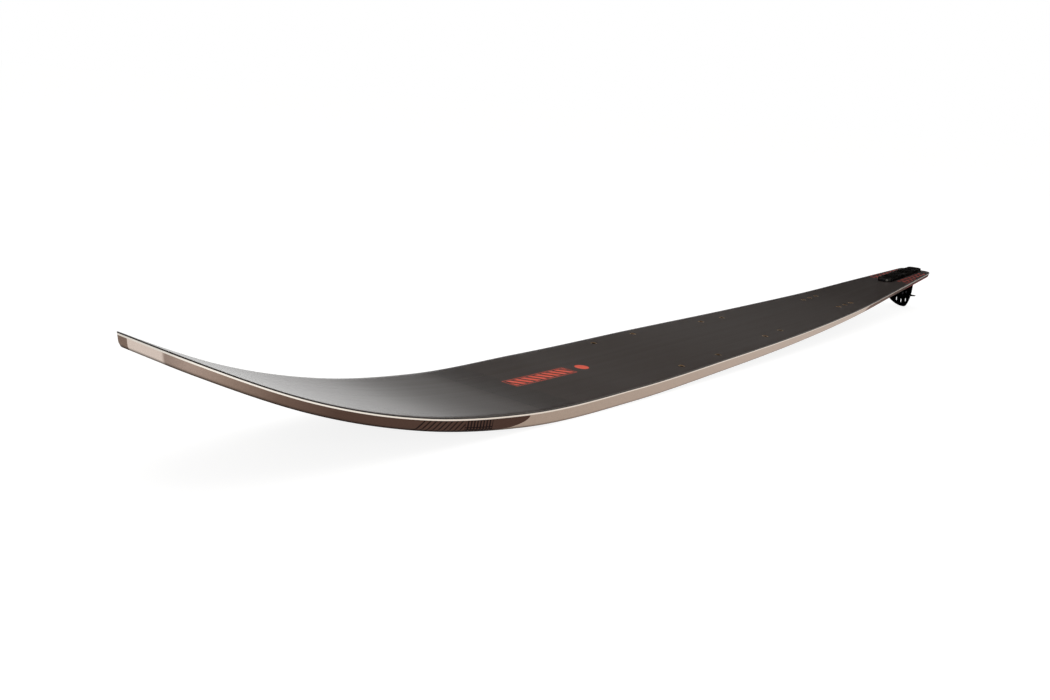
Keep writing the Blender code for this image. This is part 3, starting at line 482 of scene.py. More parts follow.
along = np.linspace(tip + .0008, headBack, 181)
threadRadius = block["lengthShank"] - depth * (1 - np.cos(along / pitch * 2 * np.pi)) / 2
profile = [(0, tip), (block["lengthShank"] - .0003, tip), *zip(threadRadius, along), (head, headBack),
           (head, headFront - .0004), (head - .0004, headFront), (0, headFront)]
lengthPiece = turnedPiece("adjusting_screw", profile, (0, 0, block["lengthRise"]), "X", fromSeat, 24)
deep, half = block["driver"]
rear, out, side = headFront - deep, headFront + block["cutPast"], 2 * block["cutPast"]
driver = plate("driver", [(rear, -side), (out, -side), (out, side), (rear, side)], block["lengthRise"] - half,
               block["lengthRise"] + half, fromSeat)
carve(lengthPiece, [driver], smoothAngle=35)
lockLow, lockEnd = front - block["lockSunk"] + hull["seam"], front - block["lockReach"]
shank, head, rim = block["lockShank"], block["lockHead"], lockLow + block["lockRim"]
lockProfile = [(0, lockEnd), (shank, lockEnd), (shank, lockLow), (head, lockLow), (head, rim)]
dome = np.radians(np.linspace(0, 72, 7))[1:]
lockProfile += list(zip(head * np.cos(dome), rim + block["lockDome"] * np.sin(dome)))
lockProfile += [(.00062, lockLow + .0010), (0, lockLow + .0008)]
lockPiece = turnedPiece("lock_screw_bright", lockProfile, (0, block["lockSide"], block["lockRise"]), "X",
                        fromSeat, hexRows=(len(lockProfile) - 2,))

# Fin: heel as a quarter ellipse, leading edge as a superellipse of power 1.3, tab with a step at its front
fin = {
    "half": .0010, "rear": -.080, "deepest": -.052, "front": .065, "depth": .0565, "heel": .0240, "sweep": 1.30,
    "baseLevel": -.0110, "travel": .0015, "clearance": .0012, "top": .0030, "tabRear": -.065, "tabFront": .058,
    "step": .046, "stepTop": -.0010, "windows": [(-.0050, -.0448), (-.0303, -.0526), (-.0540, -.0552)],
    "windowLength": .0112, "windowWidth": .0076, "windowLean": np.radians(62),
    "clampPlaces": (-.048, -.004, .040), "clampDrop": .0015, "clampSlot": (.0066, .0036),
    "cutHalf": .003, "edgeBreak": .00035,
}
wing = {
    "pivot": (-.0225, -.0370), "arm": .016, "span": .0220, "root": .028, "tip": .009, "sweep": .0155,
    "thickness": .0015, "roundStart": .86, "tipShare": .65, "lensPower": .8, "cheek": .0015,
    "cheekHeight": .0075, "cheekDrop": .0035, "cheekCorner": .004, "setback": .001, "overlap": .0004,
    "hole": .0018, "arcSlot": (.0061, .0039),
    "screw": .0015, "head": .0027, "headHeight": .0014, "nut": .0029, "nutHeight": .0020,
}
baseLevel = fin["baseLevel"]
shoulder = baseLevel - fin["travel"] - fin["clearance"]
turn = np.linspace(0, np.pi / 2, 25)
heelArc = np.stack([fin["deepest"] + (fin["rear"] - fin["deepest"]) * np.cos(turn),
                    baseLevel - fin["heel"] + (fin["heel"] - fin["depth"]) * np.sin(turn)], -1)
turn = np.pi / 2 * (1 - np.linspace(0, 1, 57)[1:])
power = 2 / fin["sweep"]
leading = np.stack([fin["deepest"] + (fin["front"] - fin["deepest"]) * np.cos(turn) ** power,
                    shoulder + (baseLevel - fin["depth"] - shoulder) * np.sin(turn) ** power], -1)
rearCorners = [(fin["tabRear"], fin["top"]), (fin["tabRear"], shoulder), (fin["rear"], shoulder)]
frontCorners = [(fin["tabFront"], shoulder), (fin["tabFront"], fin["stepTop"]), (fin["step"], fin["stepTop"]),
                (fin["step"], fin["top"])]
finOutline = np.concatenate([rearCorners, heelArc, leading, frontCorners])
finPiece = plate("fin_blade", finOutline, -fin["half"], fin["half"], fromSeat, True)
angleHole = (wing["pivot"][0] - wing["arm"], wing["pivot"][1])
finCuts = [slotOutline(p, fin["windowLength"], fin["windowWidth"], fin["windowLean"]) for p in fin["windows"]]
finCuts += [slotOutline((x, -fin["clampDrop"]), *fin["clampSlot"], np.pi / 2) for x in fin["clampPlaces"]]
finCuts += [circleOutline(wing["pivot"], wing["hole"], 32), slotOutline(angleHole, *wing["arcSlot"], np.pi / 2)]
carve(finPiece, [plate(f"cut{i}", outline, -fin["cutHalf"], fin["cutHalf"], fromSeat, True)
                 for i, outline in enumerate(finCuts)], smoothAngle=30)
soften(finPiece, fin["edgeBreak"], 2, 45)
settle(finPiece, 30)
print("fin made")

# Wing half: span share u runs root to tip and angle v runs round a lens section, whose half thickness goes by
# the sine of v to the lens power. The rounded tip draws the chord in along a quarter circle.
wingPieces = []
inner = fin["half"] + hull["seam"]
wingFront = wing["root"] / 2 - wing["arm"] / 2
wingRear = wingFront - wing["root"]
for name, side in (("left", 1), ("right", -1)):
    start, least = wing["roundStart"], wing["tipShare"]
    closing = np.sin(np.radians(np.linspace(0, 90, 13)))[1:]
    u = np.concatenate([np.linspace(0, start, 19), start + (1 - start) * closing])
    v = np.arange(48) * 2 * np.pi / 48
    bend = np.sqrt(np.clip(1 - ((u - start) / (1 - start)).clip(0) ** 2, 0, 1)) * (1 - least) + least
    bend[-1] = least - .03
    leadingX = wingFront - wing["sweep"] * u
    trailingX = wingRear + (wingFront - wing["sweep"] - wing["tip"] - wingRear) * u
    middle, chord = (leadingX + trailingX) / 2, (leadingX - trailingX) / 2 * bend
    x = middle[:, None] + chord[:, None] * np.cos(v)
    y = np.repeat((side * (inner + (wing["span"] - inner) * u))[:, None], len(v), 1)
    lens = np.sign(np.sin(v)) * np.abs(np.sin(v)) ** wing["lensPower"]
    z = -wing["cheekDrop"] + wing["thickness"] / 2 * lens * np.minimum(1, 1 - least + bend[:, None] * least)
    blade = np.stack([x + wing["pivot"][0], y, z + wing["pivot"][1]], -1)
    index = np.arange(blade.size // 3).reshape(len(u), len(v))
    piece = makePiece(f"wing_half_{name}", fromSeat(blade), tubeFaces(index))
    foot = -wing["cheekDrop"] - wing["thickness"] / 2 + wing["overlap"]
    cheekTop = wing["cheekHeight"] - wing["cheekDrop"]
    ends = (wingFront - wing["setback"], wingRear + wing["setback"])
    outline = roundedOutline([(ends[0], foot, 0), (ends[0], cheekTop, wing["cheekCorner"]),
                              (ends[1], cheekTop, wing["cheekCorner"]), (ends[1], foot, 0)])
    low, high = sorted((side * inner, side * (inner + wing["cheek"])))
    carve(piece, [plate("cheek", outline + np.array(wing["pivot"]), low, high, fromSeat, True)], "UNION", 35)
    low, high = sorted((side * (inner - hull["seam"]), side * (inner + wing["cheek"] + .002)))
    holes = [circleOutline(place, wing["hole"], 32) for place in (wing["pivot"], angleHole)]
    holes = [plate(f"screwHole{i}", hole, low, high, fromSeat, True) for i, hole in enumerate(holes)]
    carve(piece, holes, smoothAngle=35)
    wingPieces.append(piece)
wingScrews, wingNuts = [], []
seatY = inner + wing["cheek"] + hull["seam"]
head, nut, nutEnd = wing["head"], wing["nut"] * .866, -seatY - wing["nutHeight"]
for name, shift in (("pivot", 0), ("angle", -wing["arm"])):
    centre = (wing["pivot"][0] + shift, 0, wing["pivot"][1])
    end, top = nutEnd - .0004, seatY + wing["headHeight"]
    profile = [(0, end), (wing["screw"] - .0003, end), (wing["screw"], end + .0003), (wing["screw"], seatY),
               (head - .0002, seatY), (head, seatY + .0002), (head, seatY + .0005),
               (head * .86, seatY + .0010), (head * .6, seatY + .0013), (.0011, top), (.0010, top - .0001),
               (.0010, seatY + .0005), (0, seatY + .0004)]
    wingScrews.append(turnedPiece(f"wing_{name}_button_screw", profile, centre, "Y", fromSeat, 48, (10, 11)))
    profile = [(wing["hole"], nutEnd), (wing["nut"] * .80, nutEnd), (nut, nutEnd + .0002),
               (nut, -seatY - .0002), (wing["nut"] * .80, -seatY), (wing["hole"], -seatY),
               (wing["hole"], nutEnd)]
    wingNuts.append(turnedPiece(f"wing_{name}_hexagon_nut", profile, centre, "Y", fromSeat, 48, (2, 3)))
print("wing made")


# Materials. An input, by index or name, is given a value, a socket, or a node, whose first shown output counts.
def plug(node, inputs):
    for key, value in inputs.items():
        if isinstance(value, bpy.types.Node):
            value = next(output for output in value.outputs if output.enabled)
        if isinstance(value, bpy.types.NodeSocket):
            node.id_data.links.new(value, node.inputs[key])
        else:
            node.inputs[key].default_value = value


# The one node function: values in order go to the inputs that the node shows, a name with a capital is the
# input of that name, and any other name is a setting.
def addNode(tree, kind, *values, **named):
    node = tree.nodes.new("ShaderNode" + kind)
    for key in [key for key in named if key[0].islower()]:
        setattr(node, key, named.pop(key))
    shown = [number for number, socket in enumerate(node.inputs) if socket.enabled]
    plug(node, {**dict(zip(shown, values)), **named})
    return node


def linear(code):
    parts = [int(code[i:i + 2], 16) / 255 for i in (1, 3, 5)]
    return tuple(c / 12.92 if c <= .04045 else ((c + .055) / 1.055) ** 2.4 for c in parts) + (1,)


noiseRange = (.3, .7)  # where nearly all of a noise lies


# A new material, its shader set to the values, and the node function for its tree
def newMaterial(name, values):
    finish = bpy.data.materials.new(name)
    finish.use_nodes = True
    shader = finish.node_tree.nodes["Principled BSDF"]
    plug(shader, values)
    return finish, shader, partial(addNode, finish.node_tree)


# Stripes: where the distance to the nearest whole pitch is less than half the width
def stripes(add, along, pitch, width):
    near = add("Math", along, pitch / 2, operation="PINGPONG")
    return add("Math", near, width / 2, operation="LESS_THAN")


# Where every one of the masks holds: their product
def allOf(add, mask, *others):
    for other in others:
        mask = add("Math", mask, other, operation="MULTIPLY")
    return mask


# Paints laid over a base in turn, each where its mask holds. A paint is a hex colour or a node.
def painted(add, base, layers):
    for mask, paint in layers:
        base = add("Mix", mask, base, linear(paint) if isinstance(paint, str) else paint, data_type="RGBA")
    return base


# Faint streaks along the ski: noise drawn out lengthwise, and the same taken to the two levels
def streaked(add, where, levels):
    long = add("Mapping", Vector=where, Scale=(1.2, 90, 1))
    streak = add("TexNoise", Vector=long, Scale=1.0, Detail=5.0, Roughness=.6)
    return streak, add("MapRange", streak, *noiseRange, *levels)


# A plain weave: the product of the sines of X and Y, half a wave to each yarn
def woven(add, where, yarn):
    turns = add("VectorMath", where, np.pi / yarn, operation="SCALE")
    waves = add("SeparateXYZ", add("VectorMath", turns, operation="SINE"))
    return add("Math", *waves.outputs[:2], operation="MULTIPLY")


# Object coordinates turned into the seat frame, so that a pattern can follow the block's own height and width
seatFrame = {"Rotation": (0, -seatTilt, 0),
             "Location": tuple(float(c) for c in turnedAbout(-seatPlace, -seatTilt, 0))}

# Satin-sprayed carbon laminate: warm near-black grey with faint lengthwise streaks and a broad sheen at low
# angles. The cloth under the coat is a 2 mm tow, as real. The printed lines are 0.5 mm and are drawn 1.3 mm
# wide to show, and the dashes about half as long again as printed. A zone is its middle and half its length.
deckLook = {
    "middle": "#352e2a", "tail": "#2b2522", "line": "#1d1917", "red": "#b24a41", "coral": "#ee6048",
    "fade": (.05, .70), "streaks": (.90, 1.10), "roughness": (.37, .43), "tow": .002, "edgeDepth": .00025,
    "crossZone": (1.272, .028), "crossPitch": .0034, "crossLine": .0013, "closing": (1.300, .0007),
    "strength": .90, "dashZone": (.088, .058), "dashPitch": .0165, "dashLength": .0082, "dashLean": .55,
    "firstRow": .0182, "rowPitch": .0078, "rowWidth": .0042, "innerEdge": .0162, "outerEdge": (.085, .0245),
    "barCentre": (1.192, -.003, 0), "barHalf": (.058, .0115), "barInsets": (0, .0009, .003), "barDash": .0130,
    "discCentre": (1.109, -.003, 0), "discRadius": .0090, "bump": {"Strength": .10, "Distance": .0002},
}
deckFinish, shader, add = newMaterial("satinSprayedCarbonLaminate", {
    "IOR": 1.5, "Specular IOR Level": .12, "Coat Weight": 1.0, "Coat Roughness": .26,
    "Specular Tint": linear("#fff1e6")})
where = add("TexCoord").outputs["Object"]
y = add("SeparateXYZ", where).outputs[1]
s = add("SeparateXYZ", add("UVMap", uv_map="skiMap")).outputs[0]
fade = add("MapRange", s, *deckLook["fade"], interpolation_type="SMOOTHSTEP")
base = painted(add, linear(deckLook["tail"]), [(fade, deckLook["middle"])])
streak, level = streaked(add, where, deckLook["streaks"])
base = add("VectorMath", base, level, operation="SCALE")
# Fine lines across the ski in one zone, closed by a line on the nose side
fine = stripes(add, s, deckLook["crossPitch"], deckLook["crossLine"])
fine = allOf(add, fine, add("Math", s, *deckLook["crossZone"], operation="COMPARE"))
closing = add("Math", s, *deckLook["closing"], operation="COMPARE")
fine = allOf(add, add("Math", fine, closing, operation="MAXIMUM"), deckLook["strength"])
# Rows of short red dashes both sides of the block: rows by distance from the middle, dashes by leaning station
side = add("Math", y, operation="ABSOLUTE")
rows = add("Math", side, deckLook["firstRow"], operation="SUBTRACT")
leaning = add("Math", y, deckLook["dashLean"], s, operation="MULTIPLY_ADD")
outer = add("Math", s, *deckLook["outerEdge"], operation="MULTIPLY_ADD")
dashes = allOf(add, stripes(add, rows, deckLook["rowPitch"], deckLook["rowWidth"]),
               stripes(add, leaning, deckLook["dashPitch"], deckLook["dashLength"]),
               add("Math", s, *deckLook["dashZone"], operation="COMPARE"),
               add("Math", side, deckLook["innerEdge"], operation="GREATER_THAN"),
               add("Math", side, outer, operation="LESS_THAN"))
# A plain coral bar of leaning dashes in a thin frame, and a plain disc beside it
flat = add("CombineXYZ", s, y)
fromBar = add("VectorMath", flat, deckLook["barCentre"], operation="SUBTRACT")
apart = add("SeparateXYZ", add("VectorMath", fromBar, operation="ABSOLUTE"))
boxes = []
for inset in deckLook["barInsets"]:
    boxes.append(allOf(add, *(add("Math", far, half - inset, operation="LESS_THAN")
                              for far, half in zip(apart.outputs, deckLook["barHalf"]))))
barFrame = add("Math", boxes[0], boxes[1], operation="SUBTRACT")
barDashes = allOf(add, stripes(add, leaning, deckLook["barDash"], deckLook["barDash"] * .6), boxes[2])
fromDisc = add("VectorMath", flat, deckLook["discCentre"], operation="DISTANCE")
disc = add("Math", fromDisc, deckLook["discRadius"], operation="LESS_THAN")
base = painted(add, base, [(fine, deckLook["line"]), (dashes, deckLook["red"])]
               + [(mask, deckLook["coral"]) for mask in (barFrame, barDashes, disc)])
plug(shader, {"Base Color": base, "Roughness": add("MapRange", streak, *noiseRange, *deckLook["roughness"]),
              "Normal": add("Bump", Height=woven(add, where, deckLook["tow"]), **deckLook["bump"])})

# The deck's cut edge: sanded carbon laminate, near black and matt, with its plies as faint lines 0.25 mm apart
edgeLook = {"dark": "#120f0e", "light": "#1f1b19", "ply": .00025}
edgeFinish, shader, add = newMaterial("sandedCarbonEdge", {"Roughness": .62, "Specular IOR Level": .15})
depth = add("SeparateXYZ", add("UVMap", uv_map="skiMap")).outputs[1]
ply = add("Math", depth, edgeLook["ply"], operation="PINGPONG")
shade = add("MapRange", ply, 0.0, edgeLook["ply"])
plug(shader, {"Base Color": painted(add, linear(edgeLook["dark"]), [(shade, edgeLook["light"])])})

# Printed glass laminate, rubbed matt: rose-taupe along the middle, dark brown where the nose turns up and
# toward the tail, a cream line under the deck. The base is the same cloth under dark resin, with faint
# lengthwise streaks. Printed lines are 1.2 mm and are drawn 2.1 mm wide to show. Heights are shares of the wall
# from the deck line down.
wallLook = {
    "rear": [(0, "#2a1715"), (.14, "#43302a"), (.355, "#7d655a"), (.356, "#c9b8ac"), (.80, "#bdab9e"),
             (1.30, "#a79486")],
    "front": [(1.30, "#47332c"), (1.46, "#4f3b33"), (1.58, "#544037"), (1.64, "#6f5a4f"), (1.69, "#958073"),
              (1.72, "#ab968a")],
    # The end colour is a painted highlight on the nose end facet; the far corner colour is painted shade
    "cream": "#e6dbcf", "bright": "#fff8ee", "crimson": "#8a1c1a", "line": "#1a1110", "end": "#f4e2d6",
    "paintedShadeFarCorner": "#8f796c", "base": "#3c3531", "toneLean": -.040, "speckScale": 900.0, "specks": (.93, 1.07),
    "tongue": (1.410, .086), "tongueHeight": (.20, .82), "printedLine": .0021, "lean": .0166,
    "diagonal": (1.4206, 1.4925, .0073), "upright": (1.3806, 1.4206, .0045), "level": (.67, .80),
    "levelHalf": .030, "crimsonTop": .60, "crimsonFade": (.10, .17), "endDepth": .0056, "farEdge": -.024,
    "endFade": (.024, .030), "farStart": 1.66, "creamMiddle": 1.15, "creamEdge": (.115, .103, .045),
    "brightZone": (1.40, 1.68), "foot": (.80, .94), "footZone": (1.25, 1.42), "footFloor": (.66, .26),
    "baseStart": 1.06, "streaks": (.74, 1.28), "peelScale": 260.0, "roughness": (.46, .56),
    "bump": {"Strength": .10, "Distance": .0002},
}
wallFinish, shader, add = newMaterial("printedGlassLaminate", {"IOR": 1.5, "Specular IOR Level": .01})
where = add("TexCoord").outputs["Object"]
y = add("SeparateXYZ", where).outputs[1]
s, share = add("SeparateXYZ", add("UVMap", uv_map="skiMap")).outputs[:2]
slanted = add("Math", share, wallLook["toneLean"], s, operation="MULTIPLY_ADD")
tones = []
for key, along in (("rear", slanted), ("front", s)):
    stops = wallLook[key]
    first, last = stops[0][0], stops[-1][0]
    ramp = add("ValToRGB", add("MapRange", along, first, last))
    while len(ramp.color_ramp.elements) < len(stops):
        ramp.color_ramp.elements.new(1)
    for element, (at, code) in zip(ramp.color_ramp.elements, stops):
        element.position = (at - first) / (last - first)
        element.color = linear(code)
    tones.append(ramp)
# The brown front ends toward the tail in a rounded tongue: a quarter ellipse in station and share of the wall
ahead = add("Math", wallLook["tongue"][0], s, operation="SUBTRACT", use_clamp=True)
down = add("Math", share, wallLook["tongueHeight"][0], operation="SUBTRACT", use_clamp=True)
squares = []
for part, size in ((ahead, wallLook["tongue"][1]), (down, wallLook["tongueHeight"][1])):
    part = add("Math", part, size, operation="DIVIDE")
    squares.append(add("Math", part, 2.0, operation="POWER"))
tongue = add("Math", add("Math", *squares, operation="ADD"), 1.0, operation="LESS_THAN")
base = painted(add, tones[0], [(tongue, tones[1])])
speck = add("TexNoise", Vector=where, Scale=wallLook["speckScale"], Detail=2.0)
level = add("MapRange", speck, *noiseRange, *wallLook["specks"])
base = add("VectorMath", base, level, operation="SCALE")
# Printed lines: leaning ones, then upright ones crossed by two level ones
leaning = add("Math", share, -wallLook["lean"], s, operation="MULTIPLY_ADD")
lines = []
for along, key, shift in ((leaning, "diagonal", wallLook["lean"]), (s, "upright", 0)):
    low, high, pitch = wallLook[key]
    line = stripes(add, add("Math", along, low, operation="SUBTRACT"), pitch, wallLook["printedLine"])
    lines.append(allOf(add, line, add("Math", s, low, operation="GREATER_THAN"),
                       add("Math", along, high - shift, operation="LESS_THAN")))
zone = add("Math", s, (low + high) / 2, (high - low) / 2, operation="COMPARE")
for at in wallLook["level"]:
    lines.append(allOf(add, add("Math", share, at, wallLook["levelHalf"], operation="COMPARE"), zone))
# Crimson along the lower edge near the tail
crimson = allOf(add, add("Math", share, wallLook["crimsonTop"], operation="GREATER_THAN"),
                add("MapRange", s, *wallLook["crimsonFade"], 1.0, 0.0))
# The nose end: a painted highlight, pale across the end facet's middle and fading at the near corner, and
# painted shade round the far corner
paintedLightEnd = allOf(add, add("Math", s, hull["length"] - wallLook["endDepth"], operation="GREATER_THAN"),
              add("MapRange", y, *wallLook["endFade"], 1.0, 0.0, interpolation_type="SMOOTHSTEP"))
far = allOf(add, add("Math", y, wallLook["farEdge"], operation="LESS_THAN"),
            add("Math", s, wallLook["farStart"], operation="GREATER_THAN"))
base = painted(add, base, [(line, wallLook["line"]) for line in lines]
               + [(crimson, wallLook["crimson"]), (paintedLightEnd, wallLook["end"]), (far, wallLook["paintedShadeFarCorner"])])
# The wall is darker along its foot, most of all under the nose
floorLevel = add("MapRange", s, *wallLook["footZone"], *wallLook["footFloor"])
foot = add("MapRange", share, *wallLook["foot"], 1.0, floorLevel)
base = add("VectorMath", base, foot, operation="SCALE")
# Cream line: its lower edge sits lower toward both ends, and more so toward the nose
slope, level, tilt = wallLook["creamEdge"]
away = add("Math", add("Math", s, wallLook["creamMiddle"], operation="SUBTRACT"), operation="ABSOLUTE")
lower = add("Math", away, slope, level, operation="MULTIPLY_ADD")
lower = add("Math", s, tilt, lower, operation="MULTIPLY_ADD")
cream = add("Math", share, lower, operation="LESS_THAN")
nearNose = add("MapRange", s, *wallLook["brightZone"])
creamTone = painted(add, linear(wallLook["cream"]), [(nearNose, wallLook["bright"])])
under = add("Math", share, wallLook["baseStart"], operation="GREATER_THAN")
level = streaked(add, where, wallLook["streaks"])[1]
baseTone = add("VectorMath", linear(wallLook["base"])[:3], level, operation="SCALE")
base = painted(add, base, [(cream, creamTone), (under, baseTone)])
peel = add("TexNoise", Vector=where, Scale=wallLook["peelScale"], Detail=2.0)
plug(shader, {"Base Color": base, "Roughness": add("MapRange", peel, *noiseRange, *wallLook["roughness"]),
              "Normal": add("Bump", Height=peel, **wallLook["bump"])})

# Metals. Each finish: base colours from dark to light, its grain's size in metres and stretch, roughness range,
# bump, tint of the reflections at low angles, and wear: the colour that shows where the seat coordinate of that
# number is within half a length of a middle. Bore: painted shade, the near-black colour inside a radius of the
# turnMap.
metalLook = {
    "blastedAnodisedAluminium": {  # fine bead-blasted grain, no sparkle, greyer along handled edges
        "dark": "#1d1b1a", "light": "#2e2c2a", "grain": .0004, "rough": (.40, .50), "bump": .14,
        "tint": "#7c7b7a", "wear": ("#343230", 2, .00525, .00045)},
    "brushedAnodisedSheet": {  # lengthwise brushing under black anodising, a thin grey line on the rim
        "dark": "#0a0a0a", "light": "#141414", "grain": .0006, "rough": (.34, .44), "bump": .10,
        "tint": "#4c4c4c", "stretch": (.05, 1, 1), "wear": ("#242425", 1, 0, .00075)},
    "blackOxideSteel": {  # oiled black oxide on turned heads, soft grey highlights
        "dark": "#1a1a1c", "light": "#2a2a2d", "grain": .0005, "rough": (.30, .40), "bump": .06,
        "tint": "#c8c8ca", "wear": ("#55555a", 2, .00375, .00015)},
    "polishedStainless": {  # bright turned steel with faint handling marks
        "dark": "#53504c", "light": "#6e6a65", "grain": .0010, "rough": (.24, .34), "bump": .03},
    "tarnishedBrass": {  # turned brass flange, browned by water; its threaded bore painted near black as the shade inside the hole
        "dark": "#8b6f50", "light": "#c09c74", "grain": .0009, "rough": (.30, .40), "bump": .05,
        "bore": ("#120e0b", .0030)},
    "turnedBrass": {  # clean turned brass where no water reaches it
        "dark": "#8f7342", "light": "#bd9c62", "grain": .0007, "rough": (.24, .34), "bump": .05},
    "milledAluminium": {  # bare flat bar with cutter lines across it
        "dark": "#85868a", "light": "#a6a7ab", "grain": .0008, "rough": (.28, .40), "bump": .12,
        "stretch": (1, .06, 1)},
}
cloudLook = {"scale": 60.0, "shade": (.15, .38), "rubbed": (.42, .66), "reach": .0001}
metals = {}
for name, look in metalLook.items():
    tint = linear(look.get("tint", "#ffffff"))
    metals[name], shader, add = newMaterial(name, {"Metallic": 1.0, "Specular Tint": tint})
    where = add("TexCoord").outputs["Object"]
    stretched = add("Mapping", Vector=where, Scale=look.get("stretch", (1, 1, 1)))
    grain = add("TexNoise", Vector=stretched, Scale=1 / look["grain"], Detail=3.0)
    cloud = add("TexNoise", Vector=where, Scale=cloudLook["scale"], Detail=4.0)
    layers = [(add("MapRange", allOf(add, grain, cloud), *cloudLook["shade"]), look["light"])]
    if "wear" in look:
        code, axis, middle, half = look["wear"]
        seat = add("SeparateXYZ", add("Mapping", Vector=where, **seatFrame)).outputs
        rim = add("Math", seat[axis], middle, half, operation="COMPARE")
        layers.append((allOf(add, rim, add("MapRange", cloud, *cloudLook["rubbed"])), code))
    # Painted shade: inside the bore the brass is painted near black
    if "bore" in look:
        code, radius = look["bore"]
        turned = add("SeparateXYZ", add("UVMap", uv_map="turnMap")).outputs
        layers.append((add("Math", turned[1], radius, operation="LESS_THAN"), code))
    plug(shader, {"Base Color": painted(add, linear(look["dark"]), layers),
                  "Roughness": add("MapRange", cloud, *noiseRange, *look["rough"]),
                  "Normal": add("Bump", Height=grain, Strength=look["bump"], Distance=cloudLook["reach"])})

# Inner boards: two colours, the size of a cell, bubble or yarn in metres, roughness, bump's strength and reach
boardLook = {
    "closedCellFoam": {  # pale buff foam board with 0.7 mm cells, quite matt
        "dark": "#cdb987", "light": "#e7d6ab", "size": .0007, "rough": .9, "bump": (.4, .0003)},
    "castUrethane": {  # dyed dark brown, as it shows at the fin slot: even, with pin bubbles 1.2 mm apart
        "dark": "#2b221c", "light": "#3d3129", "size": .0012, "rough": .6, "bump": (.2, .0002)},
    "wovenGlassLaminate": {  # amber-green board with the yarns of its cloth, 0.9 mm apart, showing through
        "dark": "#6d6743", "light": "#918962", "size": .0009, "rough": .45, "bump": (.2, .0002)},
}
boards = {}
for name, look in boardLook.items():
    boards[name], shader, add = newMaterial(name, {"Roughness": look["rough"]})
    where = add("TexCoord").outputs["Object"]
    if name == "wovenGlassLaminate":
        height = woven(add, where, look["size"])
        shade = add("MapRange", height, -1.0, 1.0)
    else:
        height = shade = add("TexVoronoi", Vector=where, Scale=1 / look["size"])
    if name == "castUrethane":
        shade = add("TexNoise", Vector=where, Scale=90.0, Detail=4.0)
        height = add("MapRange", height, .1, .25)
    strength, reach = look["bump"]
    plug(shader, {"Base Color": painted(add, linear(look["dark"]), [(shade, look["light"])]),
                  "Normal": add("Bump", Height=height, Strength=strength, Distance=reach)})
print("materials made")


# Gives a piece its finish and its body, and hides the model's solids that it stands for. The slot is not used.
def dress(piece, finish, body, slot, *stands):
    piece.data.materials.clear()
    piece.data.materials.append(finish)
    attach(piece, body)
    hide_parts(*stands)


dress(deckPiece, deckFinish, "ski", "deck", "deck_skin")
# The deck's faces below its rounded edge take the cut-edge finish
deckPiece.data.materials.append(edgeFinish)
starts = np.empty(len(deckPiece.data.polygons), int)
deckPiece.data.polygons.foreach_get("loop_start", starts)
shallowest = np.minimum.reduceat(mapCorners(deckPiece)[:, 1], starts)
deckPiece.data.polygons.foreach_set("material_index", (shallowest > deckLook["edgeDepth"]).astype(int))
dress(shellPiece, wallFinish, "ski", "side_and_base", "base_shell")
for number, piece in enumerate(insertPieces, 1):
    dress(piece, metals["tarnishedBrass"], "ski", "insert", f"binding_insert_{number:02d}")
dress(blockPiece, metals["blastedAnodisedAluminium"], "ski", "block", "fin_block")
for number, piece in enumerate(screwPieces, 1):
    dress(piece, metals["blackOxideSteel"], "ski", "dark_screw", f"block_screw_{number}")
dress(lengthPiece, metals["blackOxideSteel"], "length_screw", "dark_screw", "length_screw")
dress(lockPiece, metals["polishedStainless"], "ski", "bright_screw", "lock_screw")
dress(finPiece, metals["brushedAnodisedSheet"], "fin", "fin", "fin")
for name, piece in zip(("left", "right"), wingPieces):
    dress(piece, metals["brushedAnodisedSheet"], "wing", "fin", f"wing_{name}")
for name, bolt, nut in zip(("pivot", "angle"), wingScrews, wingNuts):
    dress(bolt, metals["blackOxideSteel"], "wing", "dark_screw", f"wing_{name}_screw")
    dress(nut, metals["blackOxideSteel"], "wing", "dark_screw", f"wing_{name}_nut")
carried = {"foam_core": boards["closedCellFoam"], "tail_block": boards["castUrethane"]}
carried.update({f"clamp_bar_{side}": metals["milledAluminium"] for side in ("left", "right")})
carried.update({f"{zone}_insert_pad": boards["wovenGlassLaminate"] for zone in ("front", "middle", "rear")})
carried.update({f"block_insert_{k}": metals["turnedBrass"] for k in range(1, 7)})
carried.update({f"clamp_screw_{k}": metals["blackOxideSteel"] for k in range(1, 4)})
for name, finish in carried.items():
    nodes[name].data.materials.clear()
    nodes[name].data.materials.append(finish)
print("pieces dressed")


# The rays that see the bright backdrop: camera, glossy and transmission rays
def seeingRays(add):
    path = add("LightPath")
    seen = add("Math", path.outputs["Is Camera Ray"], path.outputs["Is Glossy Ray"], operation="MAXIMUM")
    return add("Math", seen, path.outputs["Is Transmission Ray"], operation="MAXIMUM")


# Plain pale floor. The seeing rays also get a glow that lifts it to white round the soft shadow.
stage = {"half": 60.0, "floor": "#efeeec", "glow": .86, "share": .30, "world": .55, "lamps": [
    ("overheadSoftbox", (.2, .3, 2.4), (0, 0, 0), (3.0, 2.0), 26),
    ("sideSoftbox", (.9, 2.6, .9), (.2, 0, 0), (2.4, 1.2), 22)]}
square = ((-1, -1), (1, -1), (1, 1), (-1, 1))
corners = [(x * stage["half"], y * stage["half"], 0) for x, y in square]
floor = makePiece("studio_floor", corners, [(0, 1, 2, 3)])
floorFinish, shader, add = newMaterial("mattePaintedFloor", {
    "Roughness": .9, "Base Color": linear(stage["floor"]), "Specular IOR Level": 0.0})
glow = add("Emission", Color=linear("#ffffff"), Strength=stage["glow"])
pale = add("BsdfDiffuse", Color=tuple(c * stage["share"] for c in linear(stage["floor"])[:3]) + (1,))
shown = add("MixShader", seeingRays(add), shader, add("AddShader", glow, pale))
plug(floorFinish.node_tree.nodes["Material Output"], {"Surface": shown})
floor.data.materials.append(floorFinish)

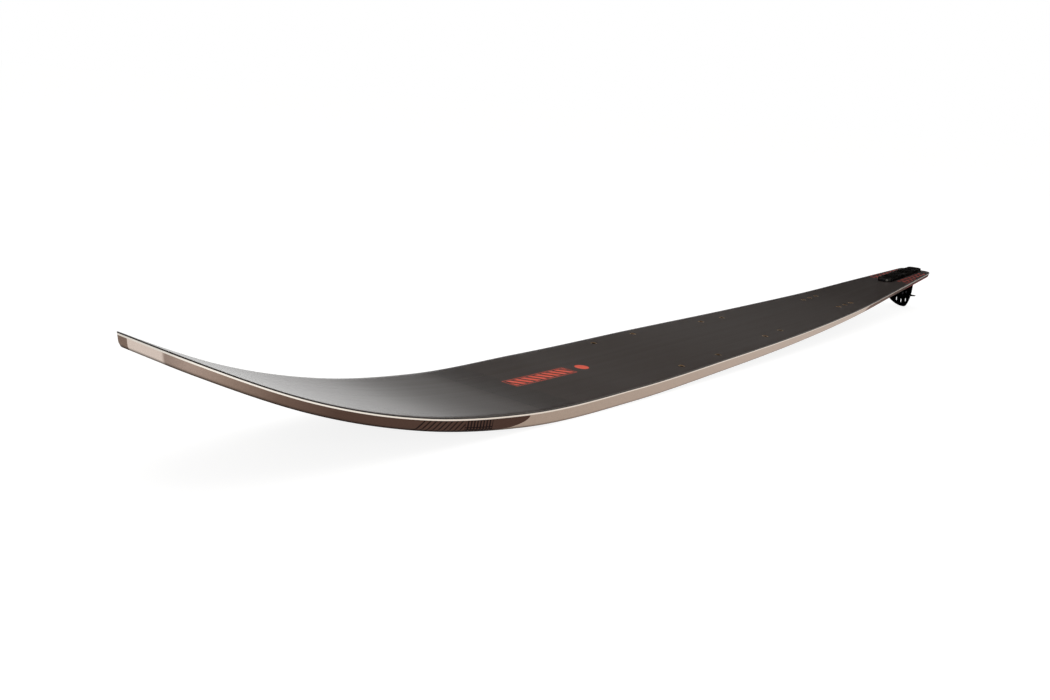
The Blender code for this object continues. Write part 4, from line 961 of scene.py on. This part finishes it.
# Black cloth flag far beyond the tail, out of sight. The deck mirrors it from tail to middle, so only the
# upturned nose takes the bright backdrop, as a photographer would set it.
flag = {"place": (-7.36, -4.25, 3.75), "half": (5.6, 2.85), "facing": (.866, .5, 0), "colour": "#0c0c0c"}
facing = Vector(flag["facing"]).normalized()
right = Vector((0, 0, 1)).cross(facing).normalized()
up = facing.cross(right)
corners = [tuple(Vector(flag["place"]) + right * x * flag["half"][0] + up * z * flag["half"][1])
           for x, z in square]
flagPiece = makePiece("studio_flag", corners, [(0, 1, 2, 3)])
flagPiece.data.materials.append(newMaterial("blackStageCloth", {
    "Roughness": 1.0, "Base Color": linear(flag["colour"]), "Specular IOR Level": 0.0})[0])
flagPiece.visible_camera = flagPiece.visible_diffuse = flagPiece.visible_shadow = False

for name, place, aim, size, power in stage["lamps"]:
    lamp = bpy.data.lights.new(name, "AREA")
    lamp.shape = "RECTANGLE"
    lamp.size, lamp.size_y = size
    lamp.energy = power
    holder = bpy.data.objects.new(name, lamp)
    holder.location = place
    holder.rotation_euler = (Vector(aim) - Vector(place)).to_track_quat("-Z", "Y").to_euler()
    bpy.context.scene.collection.objects.link(holder)
world = bpy.data.worlds.new("studioWorld")
bpy.context.scene.world = world
world.use_nodes = True
world.node_tree.nodes.clear()
add = partial(addNode, world.node_tree)
soft, white = (add("Background", Color=linear("#ffffff"), Strength=power) for power in (stage["world"], 1.0))
add("OutputWorld", add("MixShader", seeingRays(add), soft, white))

view = {"place": (1.319187, 0.707819, 0.331901), "turn": (0.2815501, 0.2665526, 0.5574054, 0.7341515),
        "lens": 36.6767, "shift": (.12, -.0001333), "sensor": 36, "clip": (.01, 50)}
lens = bpy.data.cameras.new("photoCamera")
lens.sensor_fit = "HORIZONTAL"
lens.sensor_width = view["sensor"]
lens.lens = view["lens"]
lens.shift_x, lens.shift_y = view["shift"]
lens.clip_start, lens.clip_end = view["clip"]
camera = bpy.data.objects.new("photoCamera", lens)
camera.rotation_mode = "QUATERNION"
camera.location = view["place"]
camera.rotation_quaternion = Quaternion(view["turn"])
bpy.context.scene.collection.objects.link(camera)
bpy.context.scene.camera = camera
bpy.context.scene.view_settings.view_transform = "Standard"
print("stage set")
